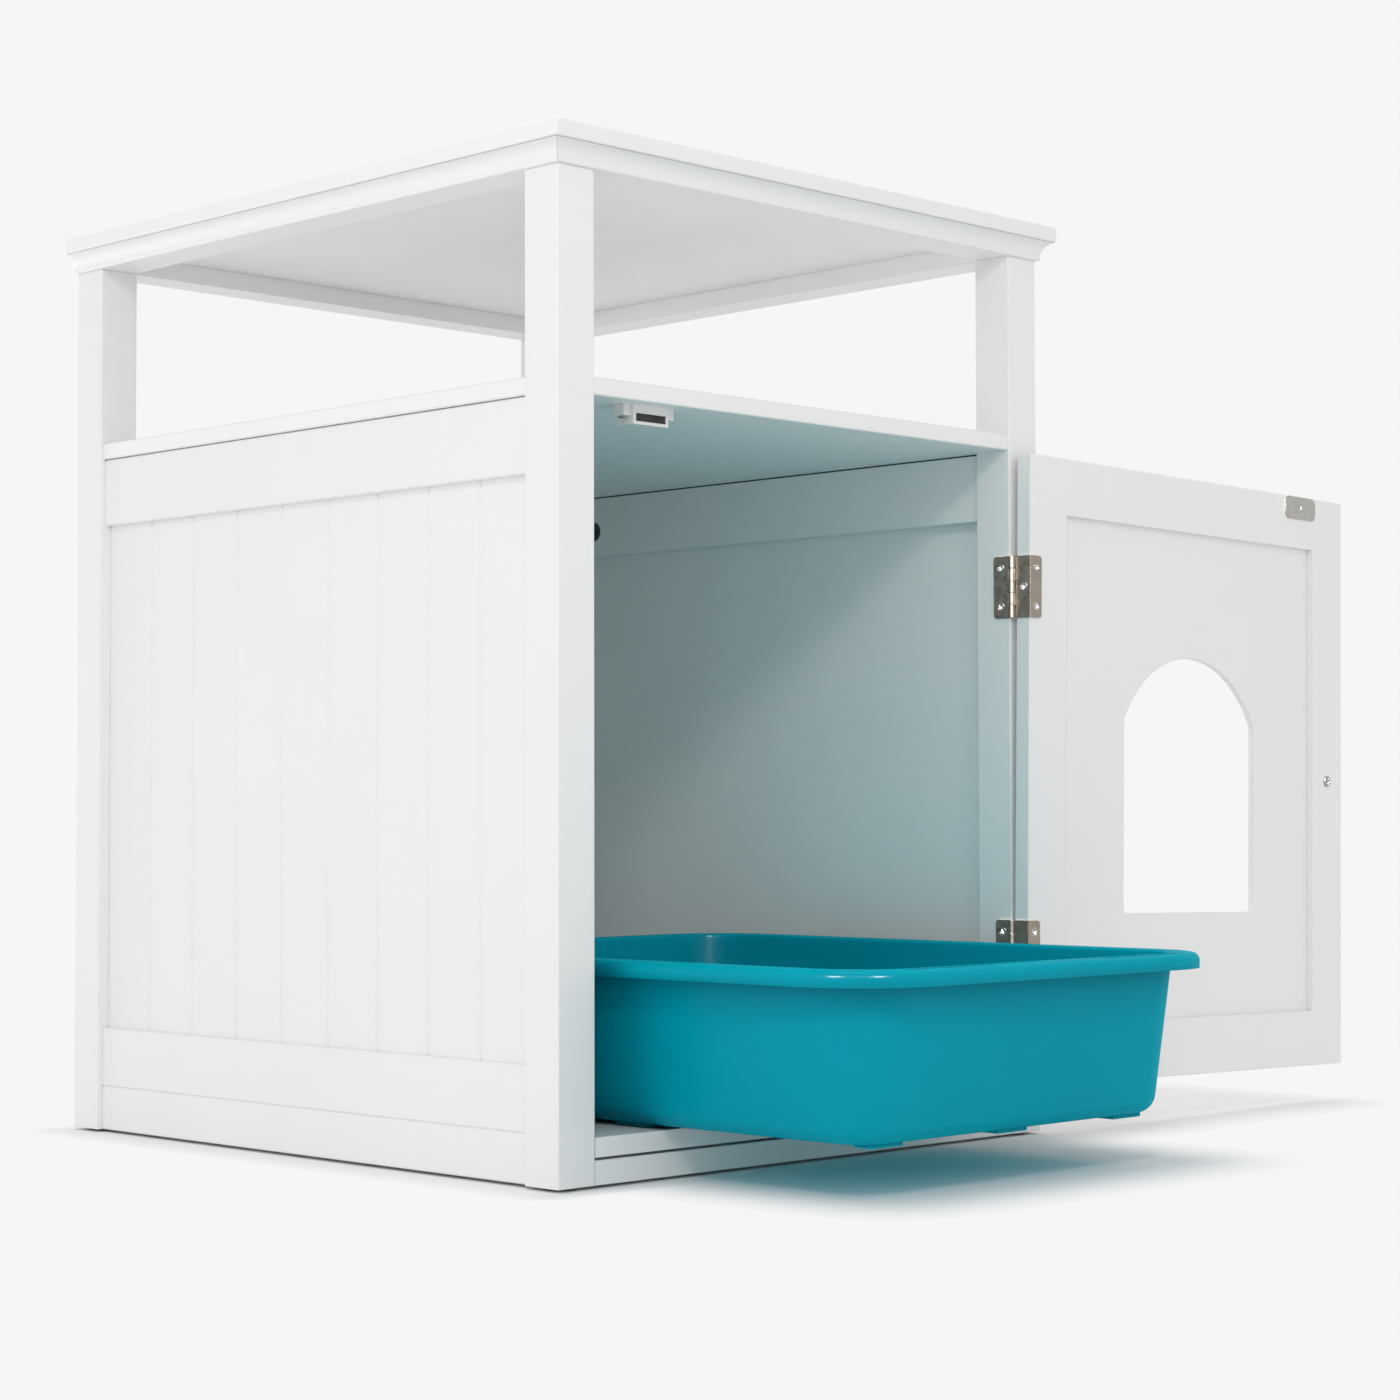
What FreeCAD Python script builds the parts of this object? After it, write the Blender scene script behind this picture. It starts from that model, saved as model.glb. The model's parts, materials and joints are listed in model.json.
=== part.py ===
import FreeCAD, Part
import math
import os
from FreeCAD import Vector

os.makedirs("parts", exist_ok=True)

# A two-tier cat litter cabinet: open shelf above, cupboard with a sliding pan below.
# Frame: origin on the floor at the centre of the posts' footprint, X to the right along the
# front, Y to the back, Z up. The stored pose has the door folded right back and the pan out.

# ---- Carcass ----
WIDTH = 453.0               # over the posts
DEPTH = 512.0               # over the posts
HEIGHT = 635.0              # floor to table top
POST = 30.0                 # square section of a post
POST_ROUND = 1.2            # rounding of a post's long edges
GLIDE_R = 10.0
GLIDE_T = 2.0

# ---- Top ----
TOP_T = 11.0
TOP_OVERHANG = 11.0         # at the front and sides
TOP_BACK_OVERHANG = 1.0
TOP_ROUND = 1.5
TOP_RAIL_H = 13.0
TOP_RAIL_W = 28.0           # from the posts' outer faces inwards
COVE_TOP = 10.0             # reach of the moulding where it meets the slab
COVE_FOOT = 1.5             # reach of the moulding at its lower edge
COVE_FOOT_H = 2.6           # height of the rounded bead at its lower edge

# ---- Shelf ----
SHELF_TOP = 486.0
SHELF_T = 11.0
SHELF_INSET = 1.5           # edges behind the posts' outer faces
EDGE_BREAK = 0.7            # small chamfer that shows each board joint as a fine line

# ---- Framed walls: left, right and back ----
FRAME_INSET = 4.0           # rails behind the posts' outer faces
FRAME_T = 22.0
UPPER_RAIL_H = 47.3
LOWER_RAIL_H = 40.5
SKIRT_ABOVE_FLOOR = 2.0     # seam between skirt and lower rail, above the floor board
PANEL_INSET = 9.0           # beadboard behind the posts' outer faces
PANEL_T = 6.0
PANEL_TONGUE = 5.0          # how far a panel runs into its grooves
BEAD_PITCH = 50.0           # wanted width of one board of the beadboard
BEAD_W = 2.4
BEAD_DEPTH = 1.2

# ---- Floor and plinth ----
FLOOR_TOP = 30.5
FLOOR_T = 12.0
PLINTH_GAP = 1.8            # dark line between plinth and floor board
PLINTH_T = 12.0
PLINTH_SET_BACK = 0.4

# ---- Hidden joinery ----
DOWEL_R = 3.0
DOWEL_L = 24.0
TOP_DOWEL_L = 22.0
TOP_DOWEL_UP = 10.0         # length of it inside the top rail
CAM_R = 7.5
CAM_DEPTH = 12.5
CAM_FROM_POST = 54.0
CAM_SLOT_W = 2.0
CAM_SLOT_L = 9.0
CAM_SLOT_DEPTH = 2.0
CAM_BOLT_R = 2.5
CAM_BOLT_IN_POST = 12.0

# ---- Door ----
DOOR_T = 12.0
DOOR_HINGE_GAP = 3.0
DOOR_LATCH_GAP = 2.0
DOOR_FLOOR_GAP = 4.5
DOOR_SHELF_GAP = 3.0
DOOR_STILE = 41.0
DOOR_TOP_RAIL = 40.0
DOOR_BOTTOM_RAIL = 42.0
DOOR_ROUND = 1.0
DOOR_PANEL_T = 4.0
DOOR_PANEL_BACK = 4.4       # depth of the panel behind the inner face
DOOR_PANEL_TONGUE = 6.0
ARCH_W = 161.0
ARCH_SILL = 118.0           # above the door's lower edge
ARCH_STRAIGHT = 139.0       # height of the opening's straight sides
ARCH_RISE = 47.6            # height of the arch above them
ARCH_CORNER = 4.0

# ---- Hinges ----
AXIS_FORWARD = 1.9          # pin line in front of the posts' front faces
AXIS_LEAN_DEG = 0.525       # pin line leans out, so the door hangs low when folded back
HINGE_IN = 92.5             # from the door's upper or lower edge to a hinge's middle
HINGE_H = 43.0
KNUCKLES = 5
KNUCKLE_GAP = 0.3
BARREL_R = 2.0
PIN_R = 1.0
PIN_CLEARANCE = 0.05
LEAF_T = 1.2
LEAF_FRONT = 0.4            # leaf starts this far behind the posts' front faces
POST_LEAF_W = 13.2
WRAP_W = 11.4               # part of the door leaf on the door's inner face
LEAF_CORNER = 2.5
LEAF_SCREW_R = 1.5
LEAF_HEAD_R = 2.9
LEAF_SCREW_SPREAD = 27.2    # between the two screws of a leaf
POST_SCREW_BACK = 7.2       # behind the posts' front faces
POST_SCREW_L = 13.0
WRAP_SCREW_IN = 5.6         # in from the door's hinge edge
WRAP_SCREW_L = 9.0
EDGE_SCREW_BACK = 7.6       # behind the door's outer face
EDGE_SCREW_L = 14.0
CROSS_W = 0.8
CROSS_DEPTH = 0.9

# ---- Catch and strike ----
CATCH_X = 90.0              # right of the left posts' outer faces
CATCH_W = 30.0
CATCH_H = 12.3
CATCH_D = 14.0
CATCH_EAR = 6.5
CATCH_EAR_H = 7.2
CATCH_EAR_D = 10.0
CATCH_SCREW_IN = 7.5        # length of screw in the shelf
CATCH_HEAD_R = 2.4
CATCH_HEAD_T = 1.4
MAGNET_W = 25.4
MAGNET_H = 4.8
MAGNET_D = 10.0
MAGNET_PROUD = 0.3
MAGNET_UP = 2.0             # above the housing's lower face
CATCH_GAP = 0.2             # magnet to strike when shut
STRIKE_W = 40.0
STRIKE_H = 17.0
STRIKE_T = 1.0
STRIKE_CORNER = 5.0
STRIKE_DOWN = 0.5           # below the door's upper edge
STRIKE_SCREW_L = 9.0

# ---- Knob ----
KNOB_IN = 21.0              # from the door's free edge
KNOB_R = 14.0
KNOB_FOOT_R = 8.0
KNOB_NECK_R = 5.5
KNOB_FLAT_R = 2.0           # flat left in the middle of the turned head
KNOB_L = 24.0
KNOB_SCREW_R = 2.0
KNOB_SCREW_IN = 14.0
KNOB_HEAD_R = 4.2
KNOB_HEAD_T = 2.2

# ---- Litter pan ----
PAN_SIDE_ROOM = 21.5        # mean room between the rim and the posts
PAN_FRONT_ROOM = 31.0       # rim behind the posts' front faces when pushed in
PAN_BACK_ROOM = 2.0         # rim in front of the back beadboard when pushed in
PAN_TRAVEL = 232.0          # pushed in to pulled out as stored
PAN_H = 104.0               # feet to rim
PAN_SIDE = -3.0             # middle of the pan from the middle of the cabinet
PAN_WALL = 2.4
PAN_RIM_W = 17.0            # rim beyond the tub
PAN_LIP = 9.7
PAN_RIM_ROUND = 5.0
PAN_RIM_R = 55.7            # plan radius of the rim's corners
PAN_FLARE = 13.0            # the tub is this much narrower at its floor on each side
PAN_FLOOR_R = 30.0
PAN_BASE_ROUND = 13.0
PAN_FOOT = 2.2
PAN_FOOT_L = 28.0
PAN_FOOT_W = 14.0
PAN_FOOT_IN = 17.0          # middle of a foot from the floor's edge
PAN_CLEARANCE = 0.2         # feet above the floor board
RIM_STRIP_GAP = 104.0       # plain middle of the front rim
RIM_STRIP_L = 78.0
RIM_STRIP_W = 8.0
RIM_STRIP_DEPTH = 0.8

# ---- Levels and planes that several pieces share ----
HALF_W = WIDTH / 2
HALF_D = DEPTH / 2
FRONT = -HALF_D
POST_TOP = HEIGHT - TOP_T - TOP_RAIL_H
PLINTH_TOP = FLOOR_TOP - FLOOR_T - PLINTH_GAP
SKIRT_TOP = FLOOR_TOP + SKIRT_ABOVE_FLOOR
LOWER_RAIL_TOP = SKIRT_TOP + LOWER_RAIL_H
SHELF_BOTTOM = SHELF_TOP - SHELF_T
UPPER_RAIL_BOTTOM = SHELF_BOTTOM - UPPER_RAIL_H
FRAME_INNER = FRAME_INSET + FRAME_T
FRAME_MID = FRAME_INSET + FRAME_T / 2
OPENING_X = HALF_W - POST
DOOR_X0 = -OPENING_X + DOOR_LATCH_GAP
DOOR_X1 = OPENING_X - DOOR_HINGE_GAP
DOOR_Z0 = FLOOR_TOP + DOOR_FLOOR_GAP
DOOR_Z1 = SHELF_BOTTOM - DOOR_SHELF_GAP
DOOR_MID_X = (DOOR_X0 + DOOR_X1) / 2
DOOR_MID_Z = (DOOR_Z0 + DOOR_Z1) / 2
DOOR_INNER = FRONT + DOOR_T
UP = Vector(0, 0, 1)
RIGHT = Vector(1, 0, 0)
BACK = Vector(0, 1, 0)


# ---- Small builders ----
def block(x0, x1, y0, y1, z0, z1):
    return Part.makeBox(x1 - x0, y1 - y0, z1 - z0, Vector(x0, y0, z0))


def centred_block(centre, dx, dy, dz):
    corner = centre - Vector(dx, dy, dz) / 2
    return Part.makeBox(dx, dy, dz, corner)


def rod(start, direction, radius, length):
    return Part.makeCylinder(radius, length, start, direction)


def prism(points, direction):
    return Part.Face(Part.makePolygon(points + points[:1])).extrude(direction)


def break_edges(board, size, keep):
    edges = [edge for edge in board.Edges if keep(edge)]
    return board.makeChamfer(size, edges)


def is_vertical(edge):
    return abs(edge.tangentAt(edge.FirstParameter).z) > 0.99


def on_level(edge, z):
    box = edge.BoundBox
    return abs(box.ZMin - z) < 1e-6 and abs(box.ZMax - z) < 1e-6


def rounded_outline(half_x, half_y, radius, centre):
    rectangle = Part.makePlane(2 * half_x, 2 * half_y, centre - Vector(half_x, half_y, 0))
    corners = rectangle.extrude(UP)
    corners = corners.makeFillet(radius, [edge for edge in corners.Edges if is_vertical(edge)])
    bottom = min(corners.Faces, key=lambda face: face.CenterOfMass.z)
    return bottom.OuterWire


def save(name, shape):
    solids = shape.Solids
    result = solids[0] if len(solids) == 1 else Part.makeCompound(solids)
    result.exportStep(f"parts/{name}.step")
    print(f"{name}: {len(solids)} solid(s), {result.Volume / 1000:.1f} cm3, valid {result.isValid()}")


# ---- Walls: u runs along the wall, v goes inwards from the posts' outer faces ----
class Wall:
    def __init__(self, name, corner, along, inwards, half_length):
        self.name = name
        self.corner = corner
        self.along = along
        self.inwards = inwards
        self.half = half_length - POST      # half the span between the posts

    def point(self, u, v, z):
        return self.corner + self.along * u + self.inwards * v + UP * z

    def board(self, u0, u1, v0, v1, z0, z1):
        outline = [self.point(u0, v0, z0), self.point(u1, v0, z0), self.point(u1, v1, z0), self.point(u0, v1, z0)]
        return prism(outline, UP * (z1 - z0))

    def groove(self, u, z0, z1):
        outline = [
            self.point(u - BEAD_W / 2, PANEL_INSET, z0),
            self.point(u, PANEL_INSET + BEAD_DEPTH, z0),
            self.point(u + BEAD_W / 2, PANEL_INSET, z0),
        ]
        return prism(outline, UP * (z1 - z0))

    def end_dowel(self, side, z):
        """A dowel across the joint between a rail's end and its post."""
        middle = self.point(side * self.half, FRAME_MID, z)
        return rod(middle - self.along * (DOWEL_L / 2), self.along, DOWEL_R, DOWEL_L)


WALLS = [
    Wall("left", Vector(-HALF_W, 0, 0), BACK, RIGHT, HALF_D),
    Wall("right", Vector(HALF_W, 0, 0), BACK, -RIGHT, HALF_D),
    Wall("back", Vector(0, HALF_D, 0), RIGHT, -BACK, HALF_W),
]
RAIL_LEVELS = {
    "upper": (UPPER_RAIL_BOTTOM, SHELF_BOTTOM),
    "lower": (SKIRT_TOP, LOWER_RAIL_TOP),
    "skirt": (GLIDE_T, SKIRT_TOP),
}
# the part of each rail's height that the panel's tongue leaves free for joinery
JOINT_LEVELS = {
    "upper": (UPPER_RAIL_BOTTOM + PANEL_TONGUE, SHELF_BOTTOM),
    "lower": (SKIRT_TOP, LOWER_RAIL_TOP - PANEL_TONGUE),
    "skirt": (GLIDE_T, SKIRT_TOP),
}
POST_SIGNS = {"front_left": (-1, -1), "front_right": (1, -1), "back_left": (-1, 1), "back_right": (1, 1)}


# ---- Hidden joinery: made first, then cut out of the boards that it joins ----
def frame_dowels():
    dowels = []
    for wall in WALLS:
        for level, (low, high) in JOINT_LEVELS.items():
            middle = (low + high) / 2
            spread = (high - low) / 4
            for side in (-1, 1):
                has_cam = side > 0 and wall.name != "back" and level != "skirt"
                if level == "skirt":
                    heights = [middle]
                elif has_cam:
                    heights = [middle + spread]
                else:
                    heights = [middle - spread, middle + spread]
                # the back wall's dowels stand off the side walls' in the corner posts
                lift = DOWEL_R * 1.2 if wall.name == "back" else -DOWEL_R * 1.2
                dowels += [wall.end_dowel(side, height + lift) for height in heights]
    plinth_mid_y = FRONT + PLINTH_SET_BACK + PLINTH_T / 2
    plinth_mid_z = (GLIDE_T + PLINTH_TOP) / 2
    for side in (-1, 1):
        middle = Vector(side * OPENING_X, plinth_mid_y, plinth_mid_z)
        dowels.append(rod(middle - RIGHT * (DOWEL_L / 2), RIGHT, DOWEL_R, DOWEL_L))
    return Part.makeCompound(dowels)


def top_dowels():
    """Two upright dowels in each post, one on either side of the top frame's mitre."""
    near = DOWEL_R * 3
    far = POST - DOWEL_R * 3
    dowels = []
    for sx, sy in POST_SIGNS.values():
        for in_x, in_y in ((near, far), (far, near)):
            foot = Vector(sx * (HALF_W - in_x), sy * (HALF_D - in_y), POST_TOP + TOP_DOWEL_UP - TOP_DOWEL_L)
            dowels.append(rod(foot, UP, DOWEL_R, TOP_DOWEL_L))
    return Part.makeCompound(dowels)


def shelf_dowels():
    """Short dowels from the side walls' upper rails into the shelf."""
    in_shelf = SHELF_T * 0.7
    dowels = []
    for wall in WALLS[:2]:
        for u in (-wall.half * 0.6, wall.half * 0.6):
            foot = wall.point(u, FRAME_MID, SHELF_BOTTOM + in_shelf - DOWEL_L)
            dowels.append(rod(foot, UP, DOWEL_R, DOWEL_L))
    return Part.makeCompound(dowels)


def floor_dowels():
    """Dowels that carry the floor board on the side skirts."""
    dowels = []
    for wall in WALLS[:2]:
        for u in (-wall.half * 0.6, wall.half * 0.6):
            middle = wall.point(u, FRAME_INNER, FLOOR_TOP - FLOOR_T / 2)
            dowels.append(rod(middle - wall.inwards * (DOWEL_L / 2), wall.inwards, DOWEL_R, DOWEL_L))
    return Part.makeCompound(dowels)


def cam_places():
    """Middle of each cam lock's face on a side wall's rail, and the wall it belongs to."""
    places = []
    for wall in WALLS[:2]:
        for level in ("upper", "lower"):
            low, high = RAIL_LEVELS[level]
            places.append((wall, wall.point(wall.half - CAM_FROM_POST, FRAME_INNER, (low + high) / 2 - CAM_R / 2)))
    return places


def cam_locks():
    locks = []
    for wall, face in cam_places():
        lock = rod(face, -wall.inwards, CAM_R, CAM_DEPTH)
        for dy, dz in ((CAM_SLOT_L, CAM_SLOT_W), (CAM_SLOT_W, CAM_SLOT_L)):
            lock = lock.cut(centred_block(face, CAM_SLOT_DEPTH * 2, dy, dz))
        locks.append(lock)
    return Part.makeCompound(locks)


def cam_holes():
    return Part.makeCompound([rod(face, -wall.inwards, CAM_R, CAM_DEPTH) for wall, face in cam_places()])


def cam_bolts():
    bolts = []
    for wall, face in cam_places():
        start = face - wall.inwards * (FRAME_T / 2)
        bolts.append(rod(start, wall.along, CAM_BOLT_R, CAM_FROM_POST + CAM_BOLT_IN_POST))
    return Part.makeCompound(bolts)


# ---- Screws ----
def cross_slot(face, direction, head_radius):
    """Cross-shaped recess in a screw head; direction points out of the head."""
    side = UP.cross(direction)
    if side.Length < 0.5:
        side = RIGHT
    side.normalize()
    other = direction.cross(side)
    recess = []
    for across in (side, other):
        along = direction.cross(across)
        reach = head_radius * 0.62
        corner = face - across * reach - along * (CROSS_W / 2) - direction * CROSS_DEPTH
        outline = [corner, corner + across * (2 * reach), corner + across * (2 * reach) + along * CROSS_W]
        outline.append(corner + along * CROSS_W)
        recess.append(prism(outline, direction * (CROSS_DEPTH * 2)))
    return recess[0].fuse(recess[1])


def flush_screw(face, inwards, length, sunk):
    """A countersunk screw whose head ends at face; sunk is the thickness of the plate."""
    cone = Part.makeCone(LEAF_HEAD_R, LEAF_SCREW_R, sunk, face, inwards)
    return cone.fuse(rod(face + inwards * sunk, inwards, LEAF_SCREW_R, length - sunk)).removeSplitter()


def crossed(screw, face, inwards, head_radius):
    return screw.cut(cross_slot(face, -inwards, head_radius))


def pan_head_screw(face, inwards, radius, length, head_radius, head_height):
    """A screw whose round head stands on face; the shank goes inwards."""
    head = rod(face - inwards * head_height, inwards, head_radius, head_height)
    crown = [edge for edge in head.Edges if edge.Curve.TypeId == "Part::GeomCircle"]
    outer = min(crown, key=lambda edge: edge.Curve.Center.dot(inwards))
    head = head.makeFillet(head_height * 0.45, [outer])
    return head.fuse(rod(face, inwards, radius, length)).removeSplitter()


# ---- Boards of the carcass ----
def post(name):
    sx, sy = POST_SIGNS[name]
    x0 = min(sx * HALF_W, sx * OPENING_X)
    y0 = min(sy * HALF_D, sy * (HALF_D - POST))
    stick = block(x0, x0 + POST, y0, y0 + POST, GLIDE_T, POST_TOP)
    return stick.makeFillet(POST_ROUND, [edge for edge in stick.Edges if is_vertical(edge)])


def glide(name):
    sx, sy = POST_SIGNS[name]
    return rod(Vector(sx * (HALF_W - POST / 2), sy * (HALF_D - POST / 2), 0), UP, GLIDE_R, GLIDE_T)


def rail(wall, level):
    low, high = RAIL_LEVELS[level]
    board = wall.board(-wall.half, wall.half, FRAME_INSET, FRAME_INNER, low, high)

    def outer_long_edge(edge):
        if is_vertical(edge):
            return False
        middle = (edge.CenterOfMass - wall.corner).dot(wall.inwards)
        return abs(middle - FRAME_INSET) < 1e-6

    return break_edges(board, EDGE_BREAK, outer_long_edge)


def wall_panel_blank(wall):
    return wall.board(
        -wall.half - PANEL_TONGUE,
        wall.half + PANEL_TONGUE,
        PANEL_INSET,
        PANEL_INSET + PANEL_T,
        LOWER_RAIL_TOP - PANEL_TONGUE,
        UPPER_RAIL_BOTTOM + PANEL_TONGUE,
    )


def wall_panel(wall):
    boards = round(2 * wall.half / BEAD_PITCH)
    pitch = 2 * wall.half / boards
    lines = [-wall.half + pitch * n for n in range(1, boards)]
    grooves = [wall.groove(u, LOWER_RAIL_TOP, UPPER_RAIL_BOTTOM) for u in lines]
    return wall_panel_blank(wall).cut(Part.makeCompound(grooves))


def shelf():
    board = block(
        -HALF_W + SHELF_INSET, HALF_W - SHELF_INSET, FRONT + SHELF_INSET, HALF_D - SHELF_INSET, SHELF_BOTTOM, SHELF_TOP
    )

    def outer_long_edge(edge):
        return not is_vertical(edge)

    board = break_edges(board, EDGE_BREAK, outer_long_edge)
    for sx, sy in POST_SIGNS.values():
        x0 = OPENING_X if sx > 0 else -HALF_W
        y0 = HALF_D - POST if sy > 0 else FRONT
        board = board.cut(block(x0, x0 + POST, y0, y0 + POST, SHELF_BOTTOM, SHELF_TOP))
    return board


def floor_board():
    """Between the side walls' skirts and the back skirt, notched round the posts, flush in front."""
    side = HALF_W - FRAME_INNER
    board = block(-side, side, FRONT, HALF_D - FRAME_INNER, FLOOR_TOP - FLOOR_T, FLOOR_TOP)
    for sx, sy in POST_SIGNS.values():
        x0 = OPENING_X if sx > 0 else -HALF_W
        y0 = HALF_D - POST if sy > 0 else FRONT
        board = board.cut(block(x0, x0 + POST, y0, y0 + POST, 0, FLOOR_TOP))
    return board


def plinth():
    y0 = FRONT + PLINTH_SET_BACK
    return block(-OPENING_X, OPENING_X, y0, y0 + PLINTH_T, GLIDE_T, PLINTH_TOP)


# ---- Top ----
def top_panel():
    slab = block(
        -HALF_W - TOP_OVERHANG,
        HALF_W + TOP_OVERHANG,
        FRONT - TOP_OVERHANG,
        HALF_D + TOP_BACK_OVERHANG,
        HEIGHT - TOP_T,
        HEIGHT,
    )
    return slab.makeFillet(TOP_ROUND, slab.Edges)


def cove_section(origin, outwards):
    """Rail section: flat underside, rounded foot, hollow cove and the reach under the slab."""

    def at(reach, height):
        return origin + outwards * reach + UP * height

    foot = at(COVE_FOOT, 0)
    bead_top = at(COVE_FOOT + COVE_FOOT_H * 0.3, COVE_FOOT_H)
    bead_mid = at(COVE_FOOT + COVE_FOOT_H * 0.36, COVE_FOOT_H * 0.42)
    cove_end = at(COVE_TOP, TOP_RAIL_H)
    cove_mid = at(COVE_FOOT + (COVE_TOP - COVE_FOOT) * 0.34, TOP_RAIL_H * 0.68)
    inner_top = at(-TOP_RAIL_W, TOP_RAIL_H)
    inner_foot = at(-TOP_RAIL_W, 0)
    edges = [
        Part.Arc(foot, bead_mid, bead_top).toShape(),
        Part.Arc(bead_top, cove_mid, cove_end).toShape(),
        Part.makeLine(cove_end, inner_top),
        Part.makeLine(inner_top, inner_foot),
        Part.makeLine(inner_foot, foot),
    ]
    return Part.Face(Part.Wire(edges))


def top_rail(side):
    """One side of the mitred frame. The back one is plain, because it stands to the wall."""
    reach = COVE_TOP + 1
    z0 = POST_TOP
    plan = {
        "front": [(-HALF_W - reach, FRONT - reach), (HALF_W + reach, FRONT - reach),
                  (HALF_W - POST, FRONT + POST), (-HALF_W + POST, FRONT + POST)],
        "right": [(HALF_W + reach, FRONT - reach), (HALF_W + reach, HALF_D), (HALF_W, HALF_D),
                  (HALF_W - POST, HALF_D - POST), (HALF_W - POST, FRONT + POST)],
        "left": [(-HALF_W - reach, FRONT - reach), (-HALF_W - reach, HALF_D), (-HALF_W, HALF_D),
                 (-HALF_W + POST, HALF_D - POST), (-HALF_W + POST, FRONT + POST)],
        "back": [(-HALF_W, HALF_D), (HALF_W, HALF_D), (HALF_W - POST, HALF_D - POST), (-HALF_W + POST, HALF_D - POST)],
    }[side]
    mitred = prism([Vector(x, y, z0) for x, y in plan], UP * TOP_RAIL_H)
    if side == "back":
        bar = block(-HALF_W, HALF_W, HALF_D - TOP_RAIL_W, HALF_D, z0, z0 + TOP_RAIL_H)
    elif side == "front":
        section = cove_section(Vector(-HALF_W - reach, FRONT, z0), -BACK)
        bar = section.extrude(RIGHT * (WIDTH + 2 * reach))
    else:
        sign = 1 if side == "right" else -1
        section = cove_section(Vector(sign * HALF_W, FRONT - reach, z0), RIGHT * sign)
        bar = section.extrude(BACK * (DEPTH + reach))
    return bar.common(mitred)


# ---- Door, drawn shut and then folded back about the leaning pin line ----
AXIS_POINT = Vector(OPENING_X - DOOR_HINGE_GAP / 2, FRONT - AXIS_FORWARD, DOOR_MID_Z)
AXIS_DIRECTION = Vector(math.sin(math.radians(AXIS_LEAN_DEG)), 0, math.cos(math.radians(AXIS_LEAN_DEG)))


def folded_back(shape):
    return shape.rotated(AXIS_POINT, AXIS_DIRECTION, 180)


def door_opening(margin):
    return (
        DOOR_X0 + DOOR_STILE - margin,
        DOOR_X1 - DOOR_STILE + margin,
        DOOR_Z0 + DOOR_BOTTOM_RAIL - margin,
        DOOR_Z1 - DOOR_TOP_RAIL + margin,
    )


def door_frame():
    board = block(DOOR_X0, DOOR_X1, FRONT, DOOR_INNER, DOOR_Z0, DOOR_Z1)
    board = board.makeFillet(DOOR_ROUND, board.Edges)
    x0, x1, z0, z1 = door_opening(0)
    return board.cut(block(x0, x1, FRONT - 1, DOOR_INNER + 1, z0, z1))


def door_panel_blank():
    x0, x1, z0, z1 = door_opening(DOOR_PANEL_TONGUE)
    back = DOOR_INNER - DOOR_PANEL_BACK
    return block(x0, x1, back - DOOR_PANEL_T, back, z0, z1)


def arch_cutter():
    sill = DOOR_Z0 + ARCH_SILL
    spring = sill + ARCH_STRAIGHT
    crown = spring + ARCH_RISE
    x0 = DOOR_MID_X - ARCH_W / 2
    x1 = DOOR_MID_X + ARCH_W / 2
    y = FRONT - 1
    left_foot = Vector(x0, y, sill)
    right_foot = Vector(x1, y, sill)
    left_spring = Vector(x0, y, spring)
    right_spring = Vector(x1, y, spring)
    edges = [
        Part.makeLine(left_foot, right_foot),
        Part.makeLine(right_foot, right_spring),
        Part.Arc(right_spring, Vector(DOOR_MID_X, y, crown), left_spring).toShape(),
        Part.makeLine(left_spring, left_foot),
    ]
    cutter = Part.Face(Part.Wire(edges)).extrude(BACK * (DOOR_T + 2))
    sills = [edge for edge in cutter.Edges if abs(edge.tangentAt(edge.FirstParameter).y) > 0.99
             and abs(edge.CenterOfMass.z - sill) < 1e-6]
    return cutter.makeFillet(ARCH_CORNER, sills)


def door_panel():
    panel = door_panel_blank()
    x0, x1, z0, z1 = door_opening(0)
    boards = round((x1 - x0) / BEAD_PITCH)
    pitch = (x1 - x0) / boards
    outer = DOOR_INNER - DOOR_PANEL_BACK - DOOR_PANEL_T
    grooves = []
    for n in range(1, boards):
        x = x0 + pitch * n
        outline = [Vector(x - BEAD_W / 2, outer, z0), Vector(x, outer + BEAD_DEPTH, z0), Vector(x + BEAD_W / 2, outer, z0)]
        grooves.append(prism(outline, UP * (z1 - z0)))
    return panel.cut(Part.makeCompound(grooves)).cut(arch_cutter())


# ---- Hinges ----
def hinge_centre(side):
    """Point on the pin line at the middle of the upper (side 1) or lower (side -1) hinge."""
    rise = side * ((DOOR_Z1 - DOOR_Z0) / 2 - HINGE_IN)
    return AXIS_POINT + AXIS_DIRECTION * (rise / AXIS_DIRECTION.z)


def knuckle(centre, index):
    """Start, length and z span of one knuckle of the barrel, counted from below."""
    pitch = HINGE_H / KNUCKLES
    low = -HINGE_H / 2 + index * pitch + KNUCKLE_GAP / 2
    high = low + pitch - KNUCKLE_GAP
    return centre + AXIS_DIRECTION * low, high - low, centre.z + low, centre.z + high


def leaf_with_knuckles(plate, centre, indexes, x0, bore):
    """Adds the barrel's rings and the tabs that join them to a plate at x0 to x0 + LEAF_T."""
    for index in indexes:
        start, length, z0, z1 = knuckle(centre, index)
        plate = plate.fuse(rod(start, AXIS_DIRECTION, BARREL_R, length))
        plate = plate.fuse(block(x0, x0 + LEAF_T, AXIS_POINT.y, FRONT + LEAF_FRONT + LEAF_T, z0, z1))
    through = rod(centre - AXIS_DIRECTION * HINGE_H, AXIS_DIRECTION, bore, 2 * HINGE_H)
    return plate.cut(through).removeSplitter()


def round_far_corners(plate, picked):
    return plate.makeFillet(LEAF_CORNER, [edge for edge in plate.Edges if picked(edge)])


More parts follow.
